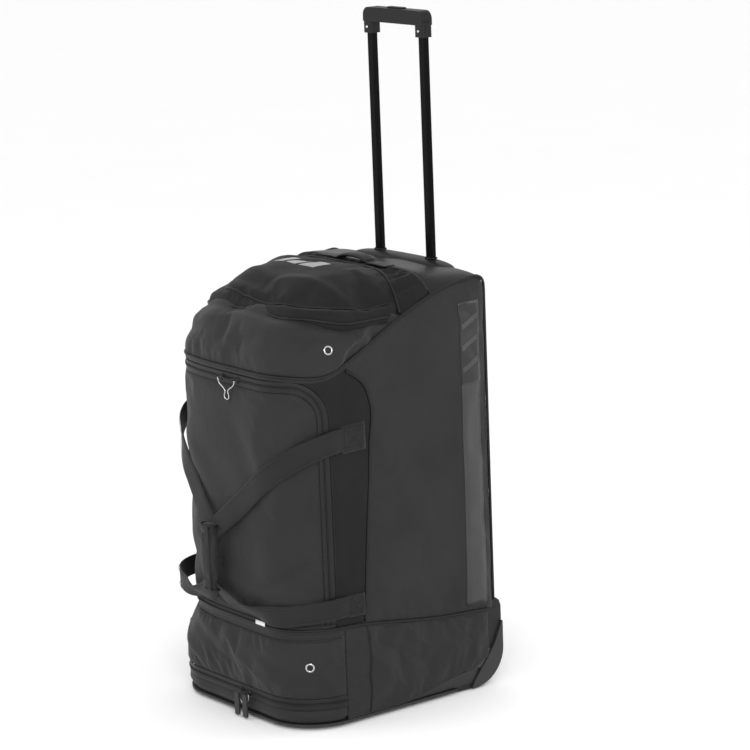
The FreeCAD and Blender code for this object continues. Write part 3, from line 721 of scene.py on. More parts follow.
# ---- camera, floor and light ---------------------------------------------------------------------
def camera_and_light():
    turn, tilt, roll = math.radians(52.78), math.radians(12.35), math.radians(-2.24)
    side = Vector((math.cos(turn), math.sin(turn), 0))
    ahead = Vector((-math.sin(turn) * math.cos(tilt), math.cos(turn) * math.cos(tilt), -math.sin(tilt)))
    above = side.cross(ahead)
    right = math.cos(roll) * side + math.sin(roll) * above
    up = -math.sin(roll) * side + math.cos(roll) * above
    data = bpy.data.cameras.new("camera")
    data.lens, data.sensor_width = 145.3, 36.0
    data.clip_end = 100.0
    camera = bpy.data.objects.new("camera", data)
    camera.matrix_world = Matrix.Translation((4.6414, -3.379, 1.8845)) @ Matrix(
        (right, up, -ahead)).transposed().to_4x4()
    bpy.context.scene.collection.objects.link(camera)
    bpy.context.scene.camera = camera

    floor = new_object("floor", [(-40, -40, 0), (40, -40, 0), (40, 40, 0), (-40, 40, 0)], [(0, 1, 2, 3)])
    material, nodes, links, principled = shader("studio_floor", (0.90, 0.90, 0.90), 0.8)
    coords = add(nodes, "ShaderNodeTexCoord")
    vary_colour(nodes, links, principled, coords.outputs["Object"], (0.90, 0.90, 0.90), 0.005, 2.0)
    paint(floor, material)

    world = bpy.data.worlds.new("studio")
    world.use_nodes = True
    world.node_tree.nodes["Background"].inputs["Color"].default_value = (1, 1, 1, 1)
    world.node_tree.nodes["Background"].inputs["Strength"].default_value = 1.08
    bpy.context.scene.world = world
    bpy.context.scene.view_settings.view_transform = "Standard"
    for name, place, target, size, power in (
            ("key", (2.9, -1.9, 1.9), (0.1, 0, 0.5), 1.4, 66),
            ("fill", (-1.6, -3.2, 1.5), (0, -0.2, 0.5), 1.6, 22),
            ("rim", (1.6, 2.6, 1.8), (0.1, 0, 0.6), 1.6, 16)):
        light = bpy.data.lights.new(name, "AREA")
        light.energy, light.size = power, size
        obj = bpy.data.objects.new(name, light)
        obj.location = place
        obj.rotation_euler = (Vector(target) - Vector(place)).to_track_quat("-Z", "Y").to_euler()
        bpy.context.scene.collection.objects.link(obj)


# ---- the slanted, padded top ---------------------------------------------------------------------
TOP_LINE = [(-0.172, 0.794), (-0.163, 0.803), (-0.150, 0.813), (-0.120, 0.829), (-0.060, 0.844), (0.0, 0.850),
            (0.060, 0.847), (0.090, 0.841), (0.115, 0.842), (0.160, 0.838), (0.200, 0.834), (0.245, 0.829),
            (0.262, 0.828)]
ARC_RADIUS = (0.222 ** 2 + (SEAM_MIDDLE_Y - SEAM_SIDE_Y) ** 2) / (2 * (SEAM_MIDDLE_Y - SEAM_SIDE_Y))
ROUND_Y = 0.222                             # the top rounds down to the back from here
ROUND_END_Z = 0.790
PIPED_S = FLAT + ARC + SIDE + BACK_ARC / 2  # the back edge's piping, right and left
LEFT_PIPED_S = 2 * HALF_LOOP - PIPED_S


def top_z(x, y):
    """Height of the domed top: lid, gusset and crown."""
    share = step(0.030, 0.055, y)
    base = 0.781 * (1 - share) + slope_z(y) * share
    power = 3.0 + 0.6 * step(0.0, 0.045, y) + 5.0 * step(0.060, 0.115, y)
    side = np.clip(np.abs(x) / TOP_HALF, 0, 1)
    return base + (smooth_line(TOP_LINE, y) - base) * (1 - side ** power)


def seam_arc_y(x):
    return SEAM_MIDDLE_Y - ARC_RADIUS + np.sqrt(ARC_RADIUS ** 2 - np.asarray(x) ** 2)


def grid_piece(name, function, us, vs, outward, thick=0.003, levels=1, soft=None, held=None):
    """Surface function(u, v) -> points over a rectangular net."""
    uu, vv = np.meshgrid(us, vs, indexing="ij")
    verts = function(uu.ravel(), vv.ravel())
    n, m = len(us), len(vs)
    faces = [(i * m + j, (i + 1) * m + j, (i + 1) * m + j + 1, i * m + j + 1)
             for i in range(n - 1) for j in range(m - 1)]
    steps_u = np.linalg.norm(np.diff(verts.reshape(n, m, 3), axis=0), axis=2).mean(1)
    steps_v = np.linalg.norm(np.diff(verts.reshape(n, m, 3), axis=1), axis=2).mean(0)
    run_u, run_v = np.concatenate([[0], np.cumsum(steps_u)]), np.concatenate([[0], np.cumsum(steps_v)])
    uv = [(run_u[i], run_v[j]) for i in range(n) for j in range(m)]
    obj = new_object(name, verts, faces, uv)
    face_outwards(obj, outward)
    if soft:
        pinned = np.zeros((n, m))
        pinned[[0, -1], :] = 1
        pinned[:, [0, -1]] = 1
        pinned = pinned.ravel()
        if held is not None:
            pinned = np.maximum(pinned, held(uu.ravel(), vv.ravel()))
        drape(obj, pinned, **soft)
    finish_soft(obj, thick, levels)
    return obj


# the leaning wall of the top pocket
WALL_END = s_at(0.046)
WALL_PROFILE = [(0.0, 0.0), (0.10, 0.0085), (0.22, 0.0135), (0.50, 0.0180), (0.68, 0.0150), (0.745, 0.0115),
                (0.785, 0.0035), (0.90, 0.0035), (1.0, 0.0)]
WALL_HEIGHT = 0.135
WALL_FOLDS = [((0.02, 0.050), (0.27, 0.088), 0.010, -0.0070), ((0.05, 0.075), (0.33, 0.060), 0.012, 0.0060),
              ((0.13, 0.020), (0.24, 0.060), 0.011, 0.0045), ((0.18, 0.012), (0.21, 0.085), 0.009, -0.0050),
              ((-0.26, 0.030), (-0.02, 0.062), 0.012, -0.0060), ((-0.24, 0.055), (0.0, 0.090), 0.012, 0.0045),
              ((-0.10, 0.012), (0.06, 0.040), 0.012, 0.0040)]
EYELET_S, EYELET_T = FLAT + CORNER * math.radians(66), 0.46      # place of the pocket wall's eyelet
RIM_REAR_Y = 0.060                          # the rim's sides run back to here


def slump(points):
    """The left front of the top pocket and its lid lean in and hang lower."""
    points = np.array(points, float)
    x, y = points[..., 0].copy(), points[..., 1].copy()
    share = step(0.04, 0.20, -x) * (1 - step(-0.07, 0.03, y))
    points[..., 0] += 0.026 * share
    points[..., 1] += 0.014 * share * (1 - step(-0.13, -0.03, y))
    points[..., 2] -= 0.010 * share
    return points


def rim_point(s):
    """Rim of the top pocket above outline position s."""
    sign, a = np.sign(s), np.abs(s)
    turn = np.clip((a - FLAT) / CORNER, 0, math.pi / 2)
    run = np.clip(a - FLAT - ARC, 0, None)
    side_share = run / (RIM_REAR_Y - (FRONT + CORNER))
    flat_x = np.minimum(a, FLAT) * (RIM_HALF - RIM_CORNER) / FLAT
    x = sign * (flat_x + RIM_CORNER * np.sin(turn))
    y = RIM_FRONT + RIM_CORNER * (1 - np.cos(turn)) + side_share * (RIM_REAR_Y - (RIM_FRONT + RIM_CORNER))
    rim = slump(np.stack([x, y, top_z(x, y) - 0.009], -1))
    return rim[..., 0], rim[..., 1], rim[..., 2]


def wall_place(s, t, proud=0.0):
    """Point of the pocket wall, t from 0 at its foot to 1 at its rim."""
    _, foot_y, nx, ny = plan(s)
    z0 = slope_z(foot_y)
    foot = on_bag(s, z0)
    x0, y0 = foot[:, 0], foot[:, 1]
    x1, y1, z1 = rim_point(s)
    chord = np.stack([x1 - x0, y1 - y0, z1 - z0], -1)
    length = np.linalg.norm(chord, axis=1, keepdims=True)
    level = np.stack([nx, ny, np.zeros_like(nx)], -1)
    along = chord / np.maximum(length, 1e-6)
    out = level - along * np.sum(level * along, axis=1, keepdims=True)
    out /= np.linalg.norm(out, axis=1, keepdims=True)
    size = np.clip(length[:, 0] / WALL_HEIGHT, 0, 1)
    v = t * length[:, 0]
    swell = smooth_line(WALL_PROFILE, t) * size * (1 - 0.45 * np.exp(-((s + SLOUCH_S) / 0.09) ** 2))
    border = np.clip(np.sin(np.pi * np.clip(t, 0, 1)), 0, 1) ** 0.5
    folds = creases(s, v, WALL_FOLDS) + ripple(s, v, 0.07, 0.0045, 3.0)
    return (np.stack([x0, y0, z0], -1) + chord * np.asarray(t)[:, None]
            + out * (swell + folds * border * size + proud)[:, None]), out


def top_pocket():
    def surface(u, v):
        return wall_place(u, v)[0]

    def held(u, v):
        near = np.hypot(np.abs(u) - EYELET_S, (v - EYELET_T) * 0.1) < 0.018
        return near.astype(float)

    wall = grid_piece("pocket_wall", surface, np.linspace(-WALL_END, WALL_END, 131), np.linspace(0, 1, 20),
                      (0, -0.87, 0.49), soft=dict(pressure=0.6, extra=0.035, cap=0.009), held=held)
    place_piece(wall, FABRIC, "bag", "body_fabric", "top_pocket_wall")
    tree = tree_of(wall)
    for sign, side in SIDES:
        centre, out = wall_place(np.array([sign * EYELET_S]), np.array([EYELET_T]))
        eyelet("eyelet_top_" + side, tree, centre[0], out[0], "bag", ["eyelets_upper"] if sign > 0 else [])

    # zip round the rim: one half on the wall, one under the lid's storm flap
    s = np.linspace(-s_at(0.020), s_at(0.020), 260)
    x, y, z = rim_point(s)
    rim = np.stack([x, y, z], -1)
    out = wall_place(s, np.full_like(s, 1.0))[1]
    tape = sweep("rim_zip_tape", rim + out * 0.0006 - np.array([0, 0, 0.004]), out,
                 strip_section(0.010, TAPE_THICK))
    place_piece(tape, TAPE, "bag", "zip_tape")
    teeth = coil("rim_zip_coil", rim + out * 0.0004 + np.array([0, 0, 0.0012]), out)
    place_piece(teeth, PIPING, "bag", "piping")


def eyelet(name, tree, centre, out, body, nodes):
    """Chromed vent eyelet: rolled ring round a dark disc that is painted shade for the hole."""
    out = np.array(out) / np.linalg.norm(out)
    centre = lay(tree, [centre], [out])[0]
    side = np.cross(out, (0, 0, 1))
    side /= np.linalg.norm(side)
    up = np.cross(side, out)
    angles = circle(32)
    path = [centre + 0.0074 * (math.cos(t) * side + math.sin(t) * up) + out * 0.0008 for t in angles]
    section = [(0.0017 * math.cos(2 * math.pi * k / 12),
                0.0014 * math.sin(2 * math.pi * k / 12)) for k in range(12)]
    ring = sweep(name, path, [out] * 32, section, closed=True)
    place_piece(ring, CHROME, body, "chrome_metal", *nodes)
    # painted shade: a dark disc inside the ring stands for the shadowed hole
    verts = [centre + out * 0.0004]
    verts += [centre + 0.0066 * (math.cos(t) * side + math.sin(t) * up) + out * 0.0007 for t in angles]
    faces = [(0, 1 + k, 1 + (k + 1) % 32) for k in range(32)]
    hole = new_object(name + "_mesh", verts, faces)
    face_outwards(hole, out)
    place_piece(hole, TAPE, body, "zip_tape")


def lid_outline():
    """Plan of the lid with its apron: overhanging front and sides, curved seam behind."""
    half, front, corner = 0.2195, -0.1665, 0.101
    points = [(half, seam_arc_y(half)), (half, front + corner)]
    points += arc_points(half - corner, front + corner, corner, 0, -90, 14)
    points += arc_points(-half + corner, front + corner, corner, -90, -180, 14)
    points += [(-half, seam_arc_y(half))]
    points += [(x, seam_arc_y(x)) for x in np.linspace(-half, half, 30)[1:-1]]
    return points


LID_SEAM = [(0.197, 0.050), (0.196, -0.030), (0.182, -0.088), (0.142, -0.130), (0.080, -0.149), (0.0, -0.151),
            (-0.080, -0.146), (-0.132, -0.118), (-0.168, -0.072), (-0.186, -0.015), (-0.190, 0.050)]
LID_FOLDS = [((-0.19, -0.115), (0.18, -0.125), 0.013, -0.0045),
             ((0.02, -0.095), (0.215, -0.045), 0.014, 0.0050),
             ((-0.20, -0.05), (0.02, -0.10), 0.016, 0.0040), ((0.10, 0.03), (0.21, -0.03), 0.012, -0.0040),
             ((-0.21, 0.0), (-0.08, 0.04), 0.013, 0.0040)]


def lid():
    """Padded lid with its bound edge, its half of the rim zip and the mark."""
    rim = lid_outline()
    front_line = resample(rim[:31], 0.004, closed=False)
    top_seam = resample(catmull(LID_SEAM, 8), 0.004, closed=False)

    def place(x, y, out):
        folds = creases(x, y, LID_FOLDS) + ripple(x, y, 0.08, 0.0040, 8.0)
        spots = np.stack([x, y], -1)
        folds = folds - 0.0060 * np.exp(-(distance_to(top_seam, spots, closed=False) / 0.0065) ** 2)
        d = distance_to(front_line, spots, closed=False)
        roll = 0.011 * (1 - np.sqrt(1 - (1 - np.clip(d / 0.016, 0, 1)) ** 2 * 0.98))
        back = np.clip((seam_arc_y(x) - y) / 0.02, 0, 1)
        z = top_z(x, y) - roll + folds * np.clip(d / 0.012, 0, 1) * back + out
        return slump(np.stack([x, y, z], -1))

    cover = panel("lid_cover", rim, place, spacing=0.0075, bulge=0.0, outward=(0, 0, 1),
                  soft=dict(pressure=0.5, extra=0.03, cap=0.007), thick=0.0035)
    # painted shade: the lid cover gets the darker copy of the bag fabric
    paint(cover, PAINTED_SHADE_FABRIC)
    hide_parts("lid_panel")
    tree = tree_of(cover)

    # seam that joins the top of the lid to its gusset
    inner = top_seam[(np.abs(top_seam[:, 1]) < 0.2) & (top_seam[:, 1] < 0.036)]
    path = lay(tree, place(inner[:, 0], inner[:, 1], np.zeros(len(inner))), [(0, 0, 1)] * len(inner), 0.0008)
    path = smooth_path(path, 4)
    place_piece(sweep("lid_top_seam", path, [(0, 0, 1)] * len(path), round_section(0.0019, 8)), PIPING,
                "top_lid", "piping")

    # bound edge that hangs over the zip, with a bead along it
    edge = front_line[(front_line[:, 1] < 0.018) | (np.abs(front_line[:, 0]) < 0.2)]
    edge3 = place(edge[:, 0], edge[:, 1], np.zeros(len(edge)))
    ahead = np.gradient(edge, axis=0)
    outs = np.stack([-ahead[:, 1], ahead[:, 0], np.zeros(len(edge))], -1)
    outs /= np.linalg.norm(outs, axis=1, keepdims=True)
    if np.sum(outs[len(outs) // 2] * np.array([0, -1, 0])) < 0:
        outs = -outs
    lip = sweep("lid_lip", edge3 + np.array([0, 0, -0.0045]) - outs * 0.0006, outs,
                strip_section(0.0125, 0.0013))
    # painted shade: the lid's bound edge gets the darker copy of the bag fabric
    place_piece(lip, PAINTED_SHADE_FABRIC, "top_lid", "body_fabric")
    bead = sweep("lid_bead", edge3 + outs * 0.001 + np.array([0, 0, 0.0004]), outs, round_section(0.0021))
    place_piece(bead, PIPING, "top_lid", "piping")
    under = sweep("lid_zip_tape", edge3 - outs * 0.0065 + np.array([0, 0, -0.0035]), outs,
                  strip_section(0.008, TAPE_THICK))
    place_piece(under, TAPE, "top_lid", "zip_tape")

    # printed mark: three plain slanted bars
    def top_place(u, v, out):
        return np.stack([u, v, top_z(u, v)], -1)

    def straight_up(u, v):
        return np.tile((0.0, 0.0, 1.0), (len(u), 1))

    marks = []
    for x0, x1 in ((-0.080, -0.052), (-0.040, -0.012), (0.0, 0.046)):
        corners = [(x0, -0.028), (x1, -0.028), (x1 + 0.012, 0.008), (x0 + 0.012, 0.008)]
        marks.append(decal("mark_bar", tree, corners, top_place, straight_up, lift=0.0008))
    mark = merge("lid_mark", marks)
    place_piece(mark, PRINT, "top_lid", "body_fabric")

    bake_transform(cover)

    # curved seam behind the lid
    x = np.linspace(-0.2215, 0.2215, 120)
    y = seam_arc_y(x)
    seam = sweep("lid_seam_bead", np.stack([x, y, top_z(x, y) + 0.001], -1), [(0, 0, 1)] * 120,
                 round_section(0.0024))
    place_piece(seam, PIPING, "bag", "piping")


def crown():
    """Gathered gusset behind the lid, then the smooth coated crown that rounds down to the back."""
    def gusset(u, v):
        x = u
        y = seam_arc_y(x) + (CROWN_Y - seam_arc_y(x)) * v
        edge = np.clip(np.sin(np.pi * v), 0, 1) * np.clip((TOP_HALF - np.abs(x)) / 0.015, 0, 1)
        folds = (0.0042 * np.sin(x * 150 + 2.2 * np.sin(x * 41)) * (0.4 + 0.6 * np.abs(x) / 0.22)
                 - 0.004 + ripple(x, y, 0.035, 0.0060, 5.0))
        return np.stack([x, y, top_z(x, y) + folds * edge], -1)

    piece = grid_piece("top_gusset", gusset, np.linspace(-TOP_HALF, TOP_HALF, 101), np.linspace(0, 1, 14),
                       (0, 0, 1),
                       soft=dict(pressure=0.3, extra=0.05, cap=0.007))
    # painted shade: the gusset gets the darker copy of the bag fabric
    place_piece(piece, PAINTED_SHADE_FABRIC, "bag", "body_fabric")

    reach = ROUND_Y - CROWN_Y
    bend = 0.050

    def crown_place(u, w):
        turn = np.clip((w - reach) / bend, 0, 1) * math.pi / 2
        y_flat = CROWN_Y + np.minimum(w, reach)
        y_side = ROUND_Y + (plan(PIPED_S)[1] - ROUND_Y) * np.sin(turn)
        corner_y = np.clip((y_side - (BACK - BACK_CORNER)) / BACK_CORNER, 0, 1)
        half = HALF - BACK_CORNER * (1 - np.sqrt(1 - corner_y ** 2))
        x = u * half
        inner = np.clip((np.abs(x) - (HALF - BACK_CORNER)) / BACK_CORNER, 0, 1)
        y_end = BACK - BACK_CORNER * (1 - np.sqrt(1 - inner ** 2))
        y = np.where(w < reach, y_flat, ROUND_Y + (y_end - ROUND_Y) * np.sin(turn))
        z_flat = top_z(x, np.minimum(y, ROUND_Y))
        z = z_flat - (z_flat - ROUND_END_Z) * (1 - np.cos(turn))
        soften = np.clip(w / 0.02, 0, 1) * np.clip((1 - np.abs(u)) / 0.08, 0, 1) * np.cos(turn)
        return np.stack([x, y, z + ripple(x, w, 0.09, 0.0035, 6.0) * soften], -1)

    us = np.sin(np.linspace(-math.pi / 2, math.pi / 2, 71))
    cover = grid_piece("crown_cover", crown_place, us, np.linspace(0, reach + bend, 24), (0, 0.1, 1),
                       thick=0.0025)
    place_piece(cover, TARPAULIN, "bag", "coated_fabric", "crown_panel")
    tree = tree_of(cover)
    x = np.linspace(-0.217, 0.217, 160)
    ups = [(0, 0, 1)] * len(x)
    rows = []
    for behind in (0.0025, 0.0075):
        y = np.full_like(x, CROWN_Y + behind)
        rows.append((np.stack([x, y, top_z(x, y)], -1), ups))
    place_piece(stitched("crown_stitches", tree, rows), THREAD, "bag", "coated_fabric")
    height = top_z(x, np.full_like(x, CROWN_Y)) + 0.0006
    path = np.stack([x, np.full_like(x, CROWN_Y - 0.0005), height], -1)
    seam = sweep("crown_seam", path, ups, round_section(0.0012, 6))
    place_piece(seam, THREAD, "bag", "coated_fabric")


# ---- upright panels ------------------------------------------------------------------------------
def door_frame_points(offset):
    """Line `offset` outside the door's zip, from the lower right up, over and down to the lower left."""
    s, top, r = s_at(DOOR_SIDE_Y) + offset, DOOR_TOP + offset, DOOR_CORNER + offset
    points = [(s, DOOR_LOW)]
    points += arc_points(s - r, top - r, r, 0, 90, 12)
    points += arc_points(-s + r, top - r, r, 90, 180, 12)
    return points + [(-s, DOOR_LOW)]


def zip_pair(name, body_in, node_in, body_out, node_out, points_in, points_out, coil_in, coil_out):
    """Both halves of a zip between two bodies: tape and coil on each side."""
    for half, body, node, line, teeth_line in (("inner", body_in, node_in, points_in, coil_in),
                                               ("outer", body_out, node_out, points_out, coil_out)):
        path, ups = bag_line(line, 0.0012)
        tape = sweep(f"{name}_{half}_tape", path, ups, strip_section(0.0095, TAPE_THICK))
        place_piece(tape, TAPE, body, "zip_tape", *node)
        path, ups = bag_line(teeth_line, 0.0024)
        teeth = coil(f"{name}_{half}_coil", path, ups)
        place_piece(teeth, PIPING, body, "zip_tape")


DOOR_FOLDS = [((-0.20, 0.60), (0.02, 0.40), 0.026, 0.0045), ((0.03, 0.62), (0.20, 0.30), 0.030, -0.0045),
              ((-0.10, 0.33), (0.16, 0.24), 0.020, 0.0045), ((-0.20, 0.27), (0.0, 0.36), 0.02, -0.0030)]
STRIP_FOLDS = [((0.27, 0.44), (0.34, 0.50), 0.008, -0.002), ((0.275, 0.60), (0.35, 0.53), 0.009, 0.002)]


def front():
    """Door in its U-shaped zip, the frame round it and the band under it."""
    door_points = door_frame_points(-0.0095)

    def door_shape(u, v):
        return creases(u, v, DOOR_FOLDS) + ripple(u, v, 0.13, 0.0035, 1.0)

    door = panel("door_cover", door_points, on_bag, spacing=0.0095, bulge=0.005, shape=door_shape,
                 soft=dict(pressure=0.35, extra=0.012, cap=0.005))
    place_piece(door, FABRIC, "front_door", "body_fabric", "door_panel")
    tree = tree_of(door)
    inner = bag_line(door_frame_points(-0.0135), 0.0)
    place_piece(stitched("door_stitches", tree, [inner]), THREAD, "front_door", "body_fabric")

    zip_pair("door_zip", "front_door", ["door_zip_tape"], "bag", ["frame_zip_tapes"],
             door_frame_points(-0.0052),
             door_frame_points(0.0058), door_frame_points(-0.0004), door_frame_points(0.0014))

    # frame round the door: one ∩-shaped panel up to the side seams and the slanted top
    seam_z = np.linspace(WAIST[0][1], FRONT_TOP, 26)
    right = [(s_at(float(seam_y(z))), float(z)) for z in seam_z]
    top_s = np.linspace(right[-1][0], -right[-1][0], 61)[1:-1]
    top = [(s, float(slope_z(plan(s)[1]))) for s in top_s]
    left = [(-s, z) for s, z in right[::-1]]
    opening = door_frame_points(0.0105)
    opening[0], opening[-1] = (opening[0][0], WAIST[0][1]), (opening[-1][0], WAIST[0][1])
    outline = right + top + left + opening[::-1]

    def strip_shape(u, v):
        return creases(np.abs(u), v, STRIP_FOLDS, ripple(u, v, 0.06, 0.0022, 2.0))

    frame_piece = panel("front_frame", outline, on_bag, spacing=0.0075, bulge=0.003,
                        falloff=0.012, shape=strip_shape)
    # painted shade: the frame round the door gets the darker copy of the bag fabric, for the shade under the
    # straps
    place_piece(frame_piece, PAINTED_SHADE_FABRIC, "bag", "body_fabric", "front_header", "front_strip_left",
                "front_strip_right")
    tree = tree_of(frame_piece)
    rows = [bag_line(door_frame_points(0.0145), 0.0)]
    for sign in (1, -1):
        rows.append(bag_line([(sign * (s - 0.006), z) for s, z in right[1:-2]], 0.0))
    place_piece(stitched("frame_stitches", tree, rows), THREAD, "bag", "body_fabric")

    # band under the door
    edge_s, low_s = s_at(DOOR_SIDE_Y) + 0.0105, s_at(FLAP_SIDE_Y + 0.0005)
    low, mid, high = FLAP_TOP + 0.0005, WAIST[0][1], DOOR_LOW - 0.001
    band = [(-low_s, low), (low_s, low), (low_s, mid), (edge_s, mid),
            (edge_s, high), (-edge_s, high), (-edge_s, mid), (-low_s, mid)]
    sill = panel("front_band", band, on_bag, spacing=0.0055, bulge=0.0015, falloff=0.006)
    place_piece(sill, FABRIC, "bag", "body_fabric", "front_sill")
    tree = tree_of(sill)
    rows = [bag_line([(-end, z), (end, z)], 0.0)
            for end, z in ((low_s, low + 0.004), (edge_s, high - 0.0035))]
    place_piece(stitched("band_stitches", tree, rows), THREAD, "bag", "body_fabric")
    tag = decal("side_tag", tree, [(0.088, 0.1985), (0.118, 0.1985), (0.118, 0.2066), (0.088, 0.2066)],
                on_bag, level_out, lift=0.0042, thick=0.0009)
    place_piece(tag, PRINT_WHITE, "bag", "webbing")


def rear_corner(first_turn, count):
    """(s, z) points down the rounded rear top corner, from an angle of first_turn."""
    rise = float(slope_z(ROUND_Y)) - ROUND_END_Z
    start = s_at(ROUND_Y)
    return [(start + (PIPED_S - start) * math.sin(t), ROUND_END_Z + rise * math.cos(t))
            for t in np.linspace(first_turn, math.pi / 2, count)]


def side_outline():
    """Right side panel: seam, slanted top with its rounded rear corner, back edge and waist."""
    points = [(s_at(float(seam_y(z))), float(z)) for z in np.linspace(0.1965, FRONT_TOP, 30)]
    first_y = float(seam_y(FRONT_TOP))
    points += [(s_at(y), float(slope_z(y))) for y in np.linspace(first_y + 0.012, ROUND_Y, 30)]
    points += rear_corner(0.15, 9)
    points += [(PIPED_S, 0.60), (PIPED_S, 0.30), (PIPED_S, 0.1560)]
    points += [(s_at(y), float(waist_z(y))) for y in np.linspace(BACK - BACK_CORNER, first_y, 30)]
    return points


SIDE_FOLDS = [((0.36, 0.24), (0.56, 0.50), 0.035, 0.0030), ((0.37, 0.66), (0.50, 0.40), 0.030, -0.0030),
              ((0.40, 0.70), (0.60, 0.74), 0.025, 0.0028), ((0.39, 0.22), (0.58, 0.19), 0.016, -0.0022),
              ((0.55, 0.80), (0.60, 0.30), 0.03, 0.0018)]


def sides():
    """Side panels with their stripe, its dark block and three slanted bars."""
    def shape(u, v):
        return creases(u, v, SIDE_FOLDS, ripple(u, v, 0.16, 0.0040, 4.0))

    for sign, side in SIDES:
        outline = side_outline() if sign > 0 else [(-s, z) for s, z in side_outline()]
        cover = panel("side_cover_" + side, outline, on_bag, spacing=0.0115, bulge=0.0045, falloff=0.04,
                      shape=lambda u, v, k=sign: shape(u * k, v), outward=(sign, 0, 0),
                      soft=dict(pressure=0.25, extra=0.008, cap=0.004))
        place_piece(cover, FABRIC, "bag", "body_fabric", "side_panel_" + side)
        tree = tree_of(cover)
        s0, s1 = s_at(0.177), s_at(0.2295)

        def plate(name, corners, lift, thick, spacing=0.006):
            return decal(name, tree, [(sign * s, z) for s, z in corners], on_bag, level_out, lift, spacing,
                         thick)

        stripe = plate("stripe_" + side, [(s0, 0.176), (s1, 0.174), (s1, 0.779), (s0, 0.779)], 0.0006, 0.0005,
                       0.009)
        place_piece(stripe, STRIPE, "bag", "coated_fabric")
        block = plate("stripe_block_" + side, [(s0, 0.618), (s1, 0.618), (s1, 0.7785), (s0, 0.7785)], 0.0011,
                      0.0004)
        place_piece(block, STRIPE_DARK, "bag", "coated_fabric")
        bar0, bar1 = s0 + 0.004, s1 - 0.004
        bars = [plate("bar", [(bar0, z), (bar1, z + 0.020), (bar1, z + 0.032), (bar0, z + 0.012)],
                      0.0015, 0.0004, 0.004) for z in (0.640, 0.682, 0.724)]
        place_piece(merge("stripe_bars_" + side, bars), STRIPE, "bag", "coated_fabric")


LOWER_SIDE_FOLDS = [((0.30, 0.17), (0.42, 0.05), 0.012, 0.0035), ((0.34, 0.16), (0.50, 0.07), 0.013, -0.0035),
                    ((0.42, 0.15), (0.58, 0.09), 0.014, 0.0030)]


def lower_sides():
    """Fabric below the waist, its bottom edge rising to the wheel, and the dark tray side under it."""
    front_s, back_s = s_at(FLAP_SIDE_Y + 0.0005), s_at(0.2325)
    top = [(s_at(y), float(waist_z(y))) for y in np.linspace(0.2325, -0.118, 40)]
    guard = [(s_at(y - 0.0012), z) for y, z in GUARD if y < 0.233 and z > 0.045]
    fold = [(front_s, BASE_LOW), (s_at(0.020), BASE_LOW), (s_at(0.060), 0.021), (s_at(0.130), 0.036),
            (s_at(0.205), 0.047)]
    outline = fold + guard + [(back_s, 0.064)] + top
    tray = [(s_at(y), z) for y, z in ((0.022, BASE_LOW), (0.190, BASE_LOW), (0.205, 0.030), (0.208, 0.046),
                                      (0.130, 0.0355), (0.060, 0.0205))]

    def shape(u, v):
        return creases(u, v, LOWER_SIDE_FOLDS) + ripple(u, v, 0.05, 0.0030, 9.0)

    def sunk_place(u, v, out):
        return on_bag(u, v, out - 0.004)

    for sign, side in SIDES:
        cover = panel("shoe_side_cover_" + side, [(sign * s, z) for s, z in outline], on_bag,
                      spacing=0.007, bulge=0.004, falloff=0.02, shape=lambda u, v, k=sign: shape(u * k, v),
                      outward=(sign, 0, 0),
                      soft=dict(pressure=0.3, extra=0.02, cap=0.005))
        place_piece(cover, FABRIC, "bag", "body_fabric", "shoe_side_" + side)
        tree = tree_of(cover)
        seam_s = s_at(-0.066)
        rows = [bag_line([(sign * (seam_s + d), 0.020), (sign * (seam_s + d), 0.188)], 0.0)
                for d in (-0.004, 0.004)]
        rows.append(bag_line([(sign * s, z + 0.005) for s, z in fold], 0.0))
        place_piece(stitched("shoe_side_stitches_" + side, tree, rows), THREAD, "bag", "body_fabric")
        path, ups = bag_line([(sign * seam_s, 0.014), (sign * seam_s, 0.193)], 0.0)
        path = lay(tree, path, ups, 0.0004)
        seam = sweep("shoe_side_seam_" + side, path, ups, round_section(0.0016, 8))
        place_piece(seam, PIPING, "bag", "piping")
        under = panel("tray_side_" + side, [(sign * s, z) for s, z in tray], sunk_place, spacing=0.008,
                      bulge=0.001, falloff=0.01, outward=(sign, 0, 0))
        place_piece(under, BOARD, "bag", "board")


FLAP_FOLDS = [((-0.26, 0.16), (-0.06, 0.075), 0.012, 0.0050), ((-0.16, 0.168), (0.05, 0.080), 0.013, -0.0050),
              ((-0.03, 0.165), (0.13, 0.075), 0.014, 0.0050), ((0.06, 0.160), (0.21, 0.095), 0.012, -0.0045),
              ((0.14, 0.165), (0.27, 0.080), 0.012, 0.0040)]


